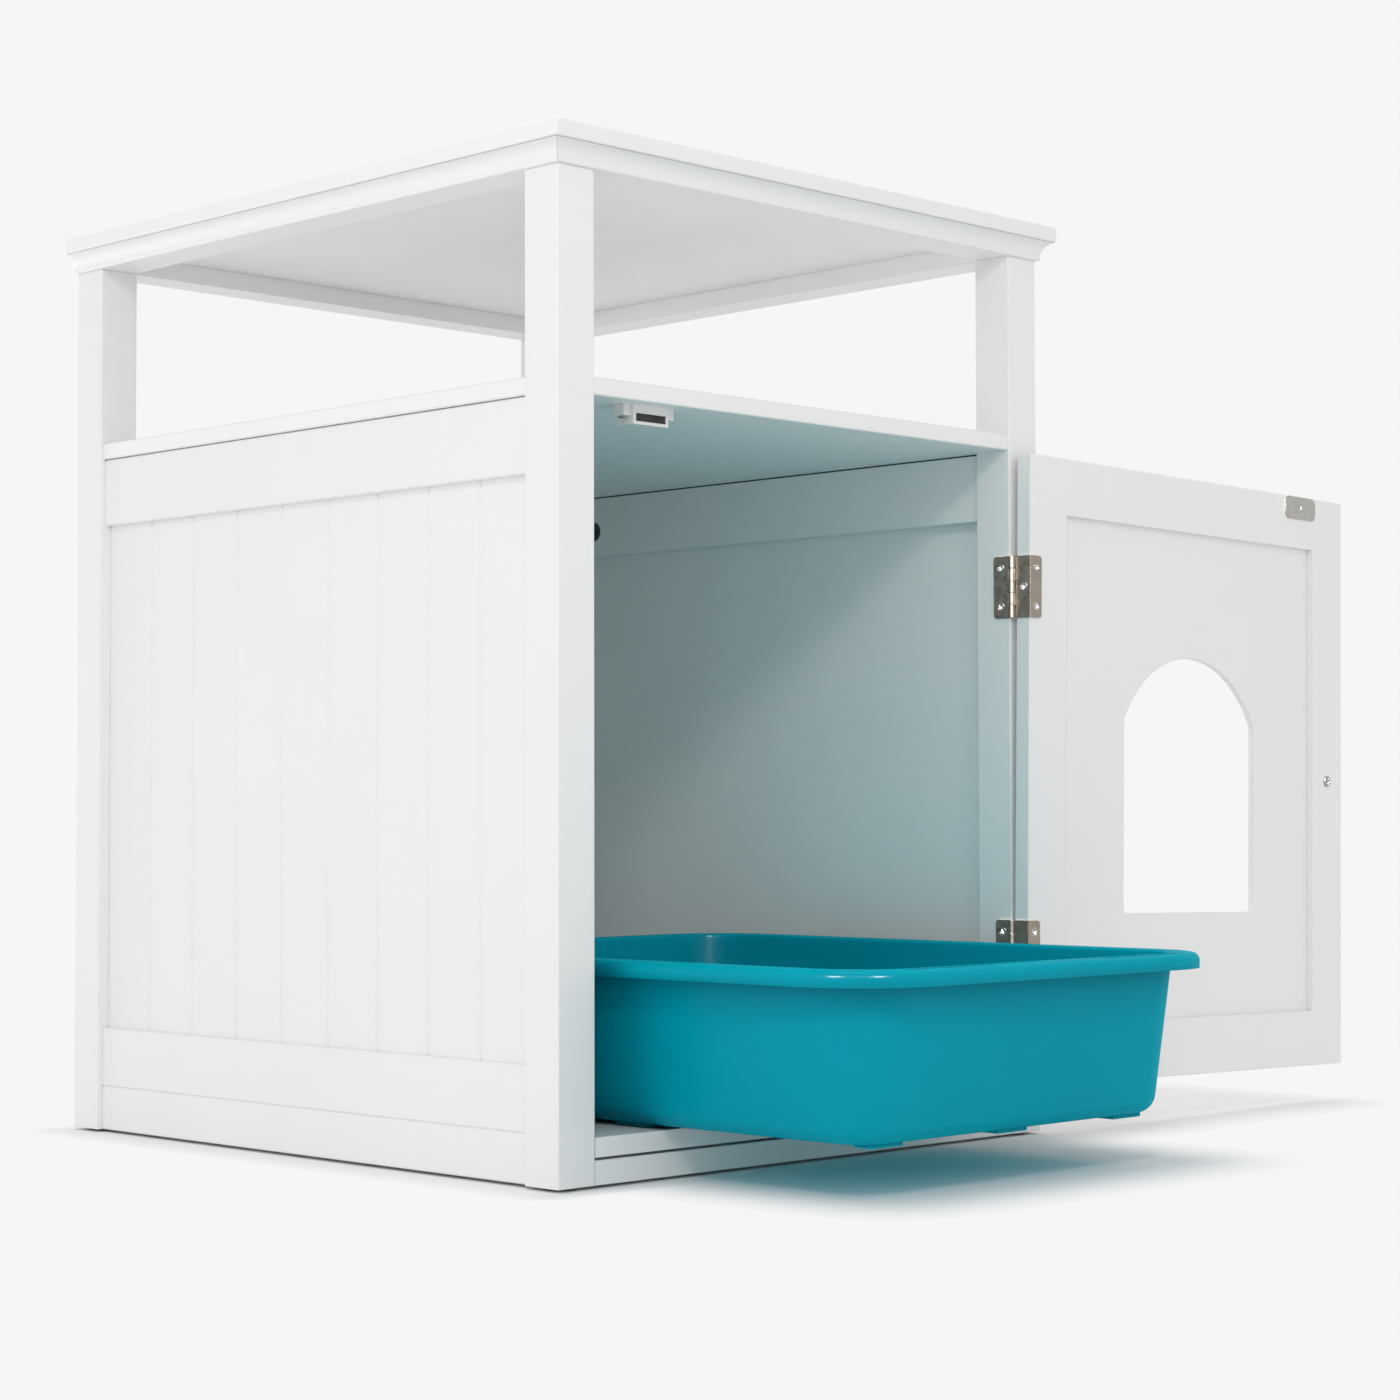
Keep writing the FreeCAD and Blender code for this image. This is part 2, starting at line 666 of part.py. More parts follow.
def post_leaf(side):
    centre = hinge_centre(side)
    x0 = OPENING_X - LEAF_T
    far = FRONT + LEAF_FRONT + POST_LEAF_W
    plate = block(x0, OPENING_X, FRONT + LEAF_FRONT, far, centre.z - HINGE_H / 2, centre.z + HINGE_H / 2)

    def far_corner(edge):
        return abs(edge.tangentAt(edge.FirstParameter).x) > 0.99 and abs(edge.CenterOfMass.y - far) < 1e-6

    plate = round_far_corners(plate, far_corner)
    leaf = leaf_with_knuckles(plate, centre, range(0, KNUCKLES, 2), x0, PIN_R)
    return leaf.cut(Part.makeCompound(post_leaf_screws(side, False)))


def door_leaf(side):
    """Drawn with the door shut: over the hinge edge and on round to the inner face."""
    centre = hinge_centre(side)
    z0 = centre.z - HINGE_H / 2
    z1 = centre.z + HINGE_H / 2
    x0 = DOOR_X1
    y1 = DOOR_INNER + LEAF_T
    far = DOOR_X1 - WRAP_W
    edge_plate = block(x0, x0 + LEAF_T, FRONT + LEAF_FRONT, y1, z0, z1)
    wrap = block(far, x0, DOOR_INNER, y1, z0, z1)

    def far_corner(edge):
        return abs(edge.tangentAt(edge.FirstParameter).y) > 0.99 and abs(edge.CenterOfMass.x - far) < 1e-6

    wrap = round_far_corners(wrap, far_corner)
    leaf = leaf_with_knuckles(edge_plate.fuse(wrap), centre, range(1, KNUCKLES, 2), x0, PIN_R + PIN_CLEARANCE)
    return leaf.cut(Part.makeCompound(door_leaf_screws(side, False)))


def hinge_pin(side):
    return rod(hinge_centre(side) - AXIS_DIRECTION * (HINGE_H / 2), AXIS_DIRECTION, PIN_R, HINGE_H)


def post_leaf_screws(side, finished):
    centre = hinge_centre(side)
    screws = []
    for dz in (-LEAF_SCREW_SPREAD / 2, LEAF_SCREW_SPREAD / 2):
        face = Vector(OPENING_X - LEAF_T, FRONT + POST_SCREW_BACK, centre.z + dz)
        screw = flush_screw(face, RIGHT, POST_SCREW_L, LEAF_T)
        screws.append(crossed(screw, face, RIGHT, LEAF_HEAD_R) if finished else screw)
    return screws


def door_leaf_screws(side, finished):
    centre = hinge_centre(side)
    edge_face = Vector(DOOR_X1 + LEAF_T, FRONT + EDGE_SCREW_BACK, centre.z)
    places = [(edge_face, -RIGHT, EDGE_SCREW_L)]
    for dz in (-LEAF_SCREW_SPREAD / 2, LEAF_SCREW_SPREAD / 2):
        wrap_face = Vector(DOOR_X1 - WRAP_SCREW_IN, DOOR_INNER + LEAF_T, centre.z + dz)
        places.append((wrap_face, -BACK, WRAP_SCREW_L))
    screws = []
    for face, inwards, length in places:
        screw = flush_screw(face, inwards, length, LEAF_T)
        screws.append(crossed(screw, face, inwards, LEAF_HEAD_R) if finished else screw)
    return screws


# ---- Catch, strike and knob ----
CATCH_MID_X = -HALF_W + CATCH_X
MAGNET_FACE = DOOR_INNER + STRIKE_T + CATCH_GAP
HOUSING_FACE = MAGNET_FACE + MAGNET_PROUD
CATCH_BOTTOM = SHELF_BOTTOM - CATCH_H
EAR_BOTTOM = SHELF_BOTTOM - CATCH_EAR_H
EAR_FRONT = HOUSING_FACE + (CATCH_D - CATCH_EAR_D) / 2


def catch_magnet():
    z0 = CATCH_BOTTOM + MAGNET_UP
    x0 = CATCH_MID_X - MAGNET_W / 2
    return block(x0, x0 + MAGNET_W, MAGNET_FACE, MAGNET_FACE + MAGNET_D, z0, z0 + MAGNET_H)


def catch_screws(finished):
    screws = []
    for side in (-1, 1):
        x = CATCH_MID_X + side * (CATCH_W / 2 + CATCH_EAR / 2)
        face = Vector(x, EAR_FRONT + CATCH_EAR_D / 2, EAR_BOTTOM)
        length = CATCH_EAR_H + CATCH_SCREW_IN
        screw = pan_head_screw(face, UP, LEAF_SCREW_R, length, CATCH_HEAD_R, CATCH_HEAD_T)
        top = face - UP * CATCH_HEAD_T
        screws.append(crossed(screw, top, UP, CATCH_HEAD_R) if finished else screw)
    return Part.makeCompound(screws)


def catch_housing():
    x0 = CATCH_MID_X - CATCH_W / 2
    x1 = CATCH_MID_X + CATCH_W / 2
    body = block(x0, x1, HOUSING_FACE, HOUSING_FACE + CATCH_D, CATCH_BOTTOM, SHELF_BOTTOM)
    ears = block(x0 - CATCH_EAR, x1 + CATCH_EAR, EAR_FRONT, EAR_FRONT + CATCH_EAR_D, EAR_BOTTOM, SHELF_BOTTOM)
    return body.fuse(ears).removeSplitter().cut(catch_magnet()).cut(catch_screws(False))


def strike_screw(finished):
    face = Vector(CATCH_MID_X, DOOR_INNER + STRIKE_T, DOOR_Z1 - STRIKE_DOWN - STRIKE_H / 2)
    screw = flush_screw(face, -BACK, STRIKE_SCREW_L, STRIKE_T)
    return crossed(screw, face, -BACK, LEAF_HEAD_R) if finished else screw


def strike_plate():
    z1 = DOOR_Z1 - STRIKE_DOWN
    x0 = CATCH_MID_X - STRIKE_W / 2
    plate = block(x0, x0 + STRIKE_W, DOOR_INNER, DOOR_INNER + STRIKE_T, z1 - STRIKE_H, z1)
    corners = [edge for edge in plate.Edges if abs(edge.tangentAt(edge.FirstParameter).y) > 0.99]
    return plate.makeFillet(STRIKE_CORNER, corners).cut(strike_screw(False))


KNOB_X = DOOR_X0 + KNOB_IN
KNOB_Z = DOOR_MID_Z


def knob_screw(finished):
    face = Vector(KNOB_X, DOOR_INNER, KNOB_Z)
    length = DOOR_T + KNOB_SCREW_IN
    screw = pan_head_screw(face, -BACK, KNOB_SCREW_R, length, KNOB_HEAD_R, KNOB_HEAD_T)
    return crossed(screw, face + BACK * KNOB_HEAD_T, -BACK, KNOB_HEAD_R) if finished else screw


def door_knob():
    """Turned: a foot on the door, a slim neck and a rounded head."""
    base = Vector(KNOB_X, FRONT, KNOB_Z)

    def at(radius, height):
        return base + RIGHT * radius - BACK * height

    edges = [
        Part.makeLine(at(0, 0), at(KNOB_FOOT_R, 0)),
        Part.Arc(at(KNOB_FOOT_R, 0), at(KNOB_NECK_R, KNOB_L * 0.25), at(KNOB_R * 0.75, KNOB_L * 0.5)).toShape(),
        Part.Arc(at(KNOB_R * 0.75, KNOB_L * 0.5), at(KNOB_R, KNOB_L * 0.7), at(KNOB_R * 0.78, KNOB_L * 0.9)).toShape(),
        Part.Arc(at(KNOB_R * 0.78, KNOB_L * 0.9), at(KNOB_R * 0.5, KNOB_L * 0.97), at(KNOB_FLAT_R, KNOB_L)).toShape(),
        Part.makeLine(at(KNOB_FLAT_R, KNOB_L), at(0, KNOB_L)),
        Part.makeLine(at(0, KNOB_L), at(0, 0)),
    ]
    turned = Part.Face(Part.Wire(edges)).revolve(base, BACK, 360)
    return turned.cut(knob_screw(False))


# ---- Litter pan ----
PAN_Z0 = FLOOR_TOP + PAN_CLEARANCE
PAN_W = 2 * (OPENING_X - PAN_SIDE_ROOM)
PAN_L = DEPTH - PANEL_INSET - PANEL_T - PAN_FRONT_ROOM - PAN_BACK_ROOM
PAN_CENTRE = Vector(PAN_SIDE, FRONT + PAN_FRONT_ROOM - PAN_TRAVEL + PAN_L / 2, 0)


def pan_ring(inset, radius, z):
    """Rounded rectangle that lies inset from the rim's outer edge at height z."""
    return rounded_outline(PAN_W / 2 - inset, PAN_L / 2 - inset, radius, PAN_CENTRE + UP * z)


def tub(extra):
    """The tapered tub, its outside moved in by extra; extra also raises its floor."""
    top_inset = PAN_RIM_W + extra
    floor_inset = PAN_RIM_W + PAN_FLARE + extra
    floor_z = PAN_Z0 + PAN_FOOT + extra
    top = pan_ring(top_inset, PAN_RIM_R - top_inset, PAN_Z0 + PAN_H)
    bottom = pan_ring(floor_inset, PAN_FLOOR_R - extra, floor_z)
    body = Part.makeLoft([bottom, top], True, True)
    return body.makeFillet(PAN_BASE_ROUND - extra, [edge for edge in body.Edges if on_level(edge, floor_z)])


def rim_block(inset, low, high, rounding):
    ring = Part.Face(pan_ring(inset, PAN_RIM_R - inset, low)).extrude(UP * (high - low))
    return ring.makeFillet(rounding, [edge for edge in ring.Edges if on_level(edge, high)])


def pan_feet():
    half_x = PAN_W / 2 - PAN_RIM_W - PAN_FLARE - PAN_FOOT_IN - PAN_FOOT_L / 2
    half_y = PAN_L / 2 - PAN_RIM_W - PAN_FLARE - PAN_FOOT_IN
    feet = []
    for sx in (-1, 0, 1):
        for sy in (-1, 1):
            middle = PAN_CENTRE + Vector(sx * half_x, sy * half_y, PAN_Z0 + PAN_FOOT)
            feet.append(centred_block(middle, PAN_FOOT_L, PAN_FOOT_W, PAN_FOOT * 2))
    for sx in (-1, 1):
        middle = PAN_CENTRE + Vector(sx * (half_x + PAN_FOOT_L / 2), 0, PAN_Z0 + PAN_FOOT)
        feet.append(centred_block(middle, PAN_FOOT_W, PAN_FOOT_L, PAN_FOOT * 2))
    return Part.makeCompound(feet)


def rim_strips():
    """Two shallow recesses in the front rim's top, either side of its plain middle."""
    z = PAN_Z0 + PAN_H
    y = PAN_CENTRE.y - PAN_L / 2 + PAN_RIM_ROUND + RIM_STRIP_W / 2 + 1
    strips = []
    for side in (-1, 1):
        x = PAN_CENTRE.x + side * (RIM_STRIP_GAP + RIM_STRIP_L) / 2
        strips.append(centred_block(Vector(x, y, z), RIM_STRIP_L, RIM_STRIP_W, 2 * RIM_STRIP_DEPTH))
    return Part.makeCompound(strips)


def litter_pan():
    rim_top = PAN_Z0 + PAN_H
    lip_low = rim_top - PAN_LIP
    rim = rim_block(0, lip_low, rim_top, PAN_RIM_ROUND)
    hollow = rim_block(PAN_WALL, lip_low - 1, rim_top - PAN_WALL, PAN_RIM_ROUND - PAN_WALL)
    tub_above_feet = tub(0)
    shell = rim.cut(hollow).fuse(tub_above_feet).fuse(pan_feet())
    shell = shell.cut(tub(PAN_WALL)).cut(rim_strips())
    return shell.removeSplitter()


# ---- Build ----
dowels = {
    "frame_dowels": frame_dowels(),
    "top_dowels": top_dowels(),
    "shelf_dowels": shelf_dowels(),
    "floor_dowels": floor_dowels(),
}
bolts = cam_bolts()
panel_blanks = [wall_panel_blank(wall) for wall in WALLS]
hinge_post_screws = [screw for side in (-1, 1) for screw in post_leaf_screws(side, False)]
hinge_door_screws = [screw for side in (-1, 1) for screw in door_leaf_screws(side, False)]

for name in POST_SIGNS:
    stick = post(name)
    for cutter in (dowels["frame_dowels"], dowels["top_dowels"], bolts, Part.makeCompound(panel_blanks)):
        stick = stick.cut(cutter)
    if name == "front_right":
        stick = stick.cut(Part.makeCompound(hinge_post_screws))
    save(f"post_{name}", stick)
    save(f"glide_{name}", glide(name))

for wall, blank in zip(WALLS, panel_blanks):
    for level in RAIL_LEVELS:
        board = rail(wall, level).cut(blank).cut(bolts).cut(cam_holes())
        for group in ("frame_dowels", "shelf_dowels", "floor_dowels"):
            board = board.cut(dowels[group])
        suffix = "skirt" if level == "skirt" else f"{level}_rail"
        save(f"{wall.name}_{suffix}", board)
    save(f"{wall.name}_beadboard", wall_panel(wall))

save("side_cam_locks", cam_locks().cut(bolts))
save("side_cam_bolts", bolts)
for name, group in dowels.items():
    save(name, group)

save("middle_shelf", shelf().cut(dowels["shelf_dowels"]).cut(catch_screws(False)))
save("floor_board", floor_board().cut(dowels["floor_dowels"]))
save("front_plinth", plinth().cut(dowels["frame_dowels"]))

save("top_panel", top_panel())
for side in ("front", "right", "back", "left"):
    save(f"top_{side}_rail", top_rail(side).cut(dowels["top_dowels"]))

frame = door_frame().cut(door_panel_blank()).cut(Part.makeCompound(hinge_door_screws))
save("door_frame", folded_back(frame.cut(strike_screw(False)).cut(knob_screw(False))))
save("door_panel", folded_back(door_panel()))
for name, side in (("upper", 1), ("lower", -1)):
    save(f"{name}_hinge_post_leaf", post_leaf(side))
    save(f"{name}_hinge_door_leaf", folded_back(door_leaf(side)))
    save(f"{name}_hinge_pin", hinge_pin(side))
save("hinge_post_screws", Part.makeCompound([s for side in (-1, 1) for s in post_leaf_screws(side, True)]))
save("hinge_door_screws", folded_back(Part.makeCompound([s for side in (-1, 1) for s in door_leaf_screws(side, True)])))

save("catch_housing", catch_housing())
save("catch_magnet", catch_magnet())
save("catch_screws", catch_screws(True))
save("strike_plate", folded_back(strike_plate()))
save("strike_screw", folded_back(strike_screw(True)))
save("door_knob", folded_back(door_knob()))
save("knob_screw", folded_back(knob_screw(True)))
save("litter_pan", litter_pan())
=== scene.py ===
# %% [markdown]
# # A white cabinet with a cat door and a teal litter pan
# The cabinet's boards, door, hinges and pan come from the CAD model, already in their places and at their
# real size. This lesson gives them their finishes, builds the pieces that need a finer shape, and sets up
# the studio. Everything is in metres. The floor is z = 0, the front looks along -Y, and +X is to the right.

import json
import math

import bmesh
import bpy
import numpy as np
from mathutils import Matrix, Vector


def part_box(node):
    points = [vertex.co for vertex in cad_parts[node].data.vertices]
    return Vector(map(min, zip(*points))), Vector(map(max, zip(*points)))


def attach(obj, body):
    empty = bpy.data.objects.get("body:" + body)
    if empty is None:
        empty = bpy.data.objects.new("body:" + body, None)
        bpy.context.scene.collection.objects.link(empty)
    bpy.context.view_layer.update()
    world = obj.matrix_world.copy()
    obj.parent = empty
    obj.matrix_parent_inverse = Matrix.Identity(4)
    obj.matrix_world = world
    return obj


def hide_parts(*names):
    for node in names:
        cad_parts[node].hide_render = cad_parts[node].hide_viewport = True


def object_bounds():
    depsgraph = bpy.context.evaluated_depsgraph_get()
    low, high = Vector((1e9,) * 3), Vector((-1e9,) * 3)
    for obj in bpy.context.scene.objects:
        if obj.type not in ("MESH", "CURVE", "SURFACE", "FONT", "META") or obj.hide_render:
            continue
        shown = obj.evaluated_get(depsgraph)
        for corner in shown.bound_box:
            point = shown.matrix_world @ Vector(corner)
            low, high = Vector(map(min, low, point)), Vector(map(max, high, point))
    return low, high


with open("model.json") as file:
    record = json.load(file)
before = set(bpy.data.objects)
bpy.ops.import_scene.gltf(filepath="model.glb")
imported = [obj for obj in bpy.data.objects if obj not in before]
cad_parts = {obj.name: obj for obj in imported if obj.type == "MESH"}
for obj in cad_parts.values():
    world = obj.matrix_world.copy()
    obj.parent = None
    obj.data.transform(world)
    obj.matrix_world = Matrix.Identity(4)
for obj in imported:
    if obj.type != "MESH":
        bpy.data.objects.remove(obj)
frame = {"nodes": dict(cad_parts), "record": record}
cad_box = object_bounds()
nodes = frame["nodes"]
slot_of = {part["node"]: part["material_slot"] for part in frame["record"]["subparts"]}
low, high = ([round(v, 3) for v in corner] for corner in cad_box)
print(len(nodes), "pieces from", low, "to", high)

# %% [markdown]
# ## The camera
# The camera stands off the left front corner, a little higher than the litter pan's rim, and it looks
# almost level. A camera could be turned by hand until the picture looks right. Here its place and its three
# angles are written down, because they were worked out from the edges of the cabinet, and a camera that is
# right shows every mistake in the model.

# %% Place the camera
CAMERA_AT = Vector((-1.39567, -1.54554, 0.22378))
CAMERA_TURN, CAMERA_LOOK_UP, CAMERA_ROLL = 0.784774, 0.038168, -0.0023766  # radians
LENS, SENSOR = 75.68, 36  # mm


def put_in_scene(made):
    """Adds a new object to the scene and returns it."""
    bpy.context.scene.collection.objects.link(made)
    return made


def looking(turn, look_up, roll):
    """Rotation of a camera: turned right from +Y, then up, then rolled."""
    level_reach = math.cos(look_up)
    ahead = Vector((math.sin(turn) * level_reach, math.cos(turn) * level_reach, math.sin(look_up)))
    level = Vector((math.cos(turn), -math.sin(turn), 0))
    above = level.cross(ahead)
    right = level * math.cos(roll) + above * math.sin(roll)
    up = above * math.cos(roll) - level * math.sin(roll)
    return Matrix((right, up, -ahead)).transposed().to_4x4()


camera = put_in_scene(bpy.data.objects.new("camera", bpy.data.cameras.new("camera")))
camera.data.lens = LENS
camera.data.sensor_width = SENSOR
camera.matrix_world = Matrix.Translation(CAMERA_AT) @ looking(CAMERA_TURN, CAMERA_LOOK_UP, CAMERA_ROLL)
bpy.context.scene.camera = camera
print("camera at", tuple(round(v, 3) for v in CAMERA_AT), "lens", LENS)

# %% [markdown]
# ## The studio
# The cabinet stands on a pale floor that runs out into a pale background, so no horizon shows. Near the
# cabinet the floor is ordinary matt white and takes its soft shadow. Far away it turns into plain pale
# light. Only the camera, and what is mirrored in metal or gloss, sees that pale light. It puts no more
# light on the cabinet.

# %% Helpers that add nodes
def add(tree, kind, wires=None, **settings):
    """Adds a node. wires gives its inputs: a socket is linked, anything else is set."""
    made = tree.nodes.new(kind)
    for key, value in settings.items():
        setattr(made, key, value)
    for key, value in (wires or {}).items():
        if isinstance(value, bpy.types.NodeSocket):
            tree.links.new(value, made.inputs[key])
        else:
            made.inputs[key].default_value = value
    return made


def maths(tree, operation, *values):
    """The result of a Math node that works on the values in their order."""
    return add(tree, "ShaderNodeMath", dict(enumerate(values)), operation=operation).outputs[0]


def vector_maths(tree, operation, *values):
    """The outputs of a Vector Math node that works on the values in their order."""
    return add(tree, "ShaderNodeVectorMath", dict(enumerate(values)), operation=operation).outputs


# %% The room's own light
PALE = 0.922
ROOM_LIGHT = 0.80


def seen_directly(tree):
    """1 for what the camera, a mirror or a clear piece shows, and 0 for light on its way to a surface."""
    ray = add(tree, "ShaderNodeLightPath").outputs
    camera_or_gloss = maths(tree, "MAXIMUM", ray["Is Camera Ray"], ray["Is Glossy Ray"])
    return maths(tree, "MAXIMUM", camera_or_gloss, ray["Is Transmission Ray"])


world = bpy.data.worlds.new("studio")
world.use_nodes = True
bpy.context.scene.world = world
tree = world.node_tree
tree.nodes.clear()
room = add(tree, "ShaderNodeBackground", {"Color": (1.0, 1.0, 1.0, 1), "Strength": ROOM_LIGHT})
backdrop = add(tree, "ShaderNodeBackground", {"Color": (1, 1, 1, 1), "Strength": PALE})
blend = add(tree, "ShaderNodeMixShader", {0: seen_directly(tree), 1: room.outputs[0], 2: backdrop.outputs[0]})
add(tree, "ShaderNodeOutputWorld", {"Surface": blend.outputs[0]})
print("room light", ROOM_LIGHT, "and backdrop", PALE)

# %% The floor
FLOOR_HALF = 9.0
FLOOR_WHITE = (0.88, 0.88, 0.88, 1)
KEPT = {
    # part of the floor that stays matt: left, front, right and back edge, and how far outside them it fades
    "cabinet": (-0.236, -0.256, 0.236, 0.256, 0.03),
    "pan": (-0.115, -0.415, 0.160, 0.0, 0.10),
    "door": (0.10, -0.268, 0.54, 0.20, 0.075),
}

floor_mesh = bpy.data.meshes.new("floor")
corners = [(x * FLOOR_HALF, y * FLOOR_HALF, 0) for x, y in ((-1, -1), (1, -1), (1, 1), (-1, 1))]
floor_mesh.from_pydata(corners, [], [(0, 1, 2, 3)])
floor = put_in_scene(bpy.data.objects.new("floor", floor_mesh))


def at_object(tree):
    """Where a point lies on its own object."""
    return add(tree, "ShaderNodeTexCoord").outputs["Object"]


def outside(tree, where, left, front, right, back, fade):
    """0 over a rectangle of the floor, and 1 from a fade's width outside it."""
    middle = ((left + right) / 2, (front + back) / 2, 0)
    half = ((right - left) / 2, (back - front) / 2, 0)
    from_middle = vector_maths(tree, "SUBTRACT", where, middle)[0]
    unsigned = vector_maths(tree, "ABSOLUTE", from_middle)[0]
    past_edge = vector_maths(tree, "SUBTRACT", unsigned, half)[0]
    past_edge = vector_maths(tree, "MAXIMUM", past_edge, (0, 0, 0))[0]
    distance = vector_maths(tree, "LENGTH", past_edge)["Value"]
    faded = add(tree, "ShaderNodeMapRange", {0: distance, 1: 0.0, 2: fade}, interpolation_type="SMOOTHSTEP")
    return faded.outputs[0]


# %% Paint the floor
floor_paint = bpy.data.materials.new("pale_floor")
floor_paint.use_nodes = True
tree = floor_paint.node_tree
tree.nodes.clear()
where = at_object(tree)
away = seen_directly(tree)
for edges_and_fade in KEPT.values():
    away = maths(tree, "MULTIPLY", away, outside(tree, where, *edges_and_fade))
near_floor = add(tree, "ShaderNodeBsdfDiffuse", {"Color": FLOOR_WHITE, "Roughness": 0.0})
pale_light = add(tree, "ShaderNodeEmission", {"Color": (1, 1, 1, 1), "Strength": PALE})
joined = add(tree, "ShaderNodeMixShader", {0: away, 1: near_floor.outputs[0], 2: pale_light.outputs[0]})
add(tree, "ShaderNodeOutputMaterial", {"Surface": joined.outputs[0]})
floor_mesh.materials.append(floor_paint)
print("floor", 2 * FLOOR_HALF, "m wide, matt round", ", ".join(KEPT))

# %% [markdown]
# ## The lamps
# The shadow line of the shelf on the inner wall tells where the main lamp hung: in front, to the left and
# above. Its edge is crisp near the front post and softer further in, so the lamp is small, about 20 cm
# across. The other lamps are broad and hang further away. They fill the left side, the back, the underside
# of the top and the top itself.

# %% A helper that hangs a lamp
def soft_lamp(name, aim, travel, away, size, power, colour):
    """A flat lamp that shines along travel and stands away from the point it is aimed at."""
    lamp = bpy.data.lights.new(name, "AREA")
    lamp.shape = "RECTANGLE"
    lamp.size, lamp.size_y = size
    lamp.energy = power
    lamp.color = colour
    travel = Vector(travel).normalized()
    hung = put_in_scene(bpy.data.objects.new(name, lamp))
    hung.location = Vector(aim) - travel * away
    hung.rotation_euler = travel.to_track_quat("-Z", "Y").to_euler()
    print(name, "at", tuple(round(v, 2) for v in hung.location))
    return hung


# %% Hang the lamps
LIT_WALL, MIDDLE, UNDER_TOP = (0.2, -0.15, 0.35), (0.05, -0.15, 0.3), (0.0, 0.0, 0.55)
WARM, COOL, PLAIN = (1.0, 0.99, 0.97), (0.95, 0.975, 1.0), (1.0, 1.0, 1.0)
LAMPS = {
    # name: point it is aimed at, way its light travels, metres away, width and height, watts, colour
    "key_lamp": (LIT_WALL, (1.2, 1.0, -0.696), 1.9, (0.20, 0.20), 4.2, (1.0, 0.99, 0.975)),
    "side_lamp": (MIDDLE, (1.0, 0.0, -0.15), 2.8, (1.4, 1.4), 4.0, COOL),
    "back_lamp": (UNDER_TOP, (0.04, -1.0, 0.08), 2.8, (1.8, 0.5), 15.0, WARM),
    "tier_lamp": (UNDER_TOP, (0.04, -1.0, 0.10), 2.6, (1.8, 0.5), 26.0, WARM),
    "overhead_lamp": (MIDDLE, (0.0, -0.12, -1.0), 2.4, (0.8, 0.8), 9.0, PLAIN),
}
hung = {name: soft_lamp(name, *numbers) for name, numbers in LAMPS.items()}
tier_pieces = bpy.data.collections.new("tier_pieces")
hung["tier_lamp"].light_linking.receiver_collection = tier_pieces
bpy.context.scene.view_settings.view_transform = "Standard"

# %% [markdown]
# Polished plastic shows the studio's softboxes as two bright spots on the pan's front corner. Two cards of
# light hang where the rim's curve mirrors them. They shine on the pan and the fittings only, because on the
# satin paint they would bleach whole boards. Their list of pieces is filled at the end, when all are made.

# %% Hang the two gloss cards
RIM_CORNER_AT = (-0.155, -0.45, 0.131)
CARD_AWAY, CARD_SIZE, CARD_WATTS = 2.0, (0.42, 0.42), 115.0
CARD_TRAVEL = {"left_card": (0.811, 0.106, -0.575), "right_card": (0.319, 0.744, -0.587)}

glossy_pieces = bpy.data.collections.new("glossy_pieces")
for name, travel in CARD_TRAVEL.items():
    card = soft_lamp(name, RIM_CORNER_AT, travel, CARD_AWAY, CARD_SIZE, CARD_WATTS, PLAIN)
    card.visible_diffuse = False
    card.visible_camera = False
    card.light_linking.receiver_collection = glossy_pieces

# %% [markdown]
# ## White paint on fibreboard
# The boards are dense fibreboard, sprayed with satin white. Sprayed paint is never quite flat: it has a
# very fine orange peel, its gloss drifts a little from place to place, and it is thinner and a touch darker
# on sharp edges. A picture of paint could be wrapped on, but noise that reads the board's own coordinates
# needs no wrapping, and it has the same grain size on every board. The Bevel node finds the edges and
# rounds them for the light.

# %% Helpers for the finishes
def new_finish(name, wires):
    """A material with one Principled shader. Returns it, its tree and the shader."""
    made = bpy.data.materials.new(name)
    made.use_nodes = True
    shader = made.node_tree.nodes["Principled BSDF"]
    for key, value in wires.items():
        shader.inputs[key].default_value = value
    return made, made.node_tree, shader


def noise(tree, where, size, detail=3.0, rough=0.5):
    """Noise whose blotches are about size metres across."""
    wires = {"Vector": where, "Scale": 1 / size, "Detail": detail, "Roughness": rough}
    return add(tree, "ShaderNodeTexNoise", wires).outputs["Fac"]


def spread(tree, value, low, high, start=0.3, end=0.7):
    """Stretches a value: at start it becomes low, at end it becomes high."""
    return add(tree, "ShaderNodeMapRange", {0: value, 1: start, 2: end, 3: low, 4: high}).outputs[0]


def tint(tree, factor, first, second):
    """Goes from the first colour at factor 0 to the second at 1."""
    mixed = add(tree, "ShaderNodeMix", {0: factor}, data_type="RGBA")
    for socket, colour in ((mixed.inputs[6], first), (mixed.inputs[7], second)):
        if isinstance(colour, bpy.types.NodeSocket):
            tree.links.new(colour, socket)
        else:
            socket.default_value = colour
    return mixed.outputs[2]


def bumped(tree, height, depth, normal=None):
    """The normal of a surface that rises by depth metres where height is 1."""
    wires = {"Height": height, "Distance": depth, "Strength": 1.0}
    if normal is not None:
        wires["Normal"] = normal
    return add(tree, "ShaderNodeBump", wires).outputs["Normal"]


def edges(tree, radius):
    """The rounded normal, and how near an edge is: 0 on a flat, up to 1 on an edge."""
    soft = add(tree, "ShaderNodeBevel", {"Radius": radius}, samples=4).outputs["Normal"]
    flat = add(tree, "ShaderNodeNewGeometry").outputs["True Normal"]
    same = vector_maths(tree, "DOT_PRODUCT", soft, flat)["Value"]
    return soft, spread(tree, same, 1.0, 0.0, 0.75, 0.995)


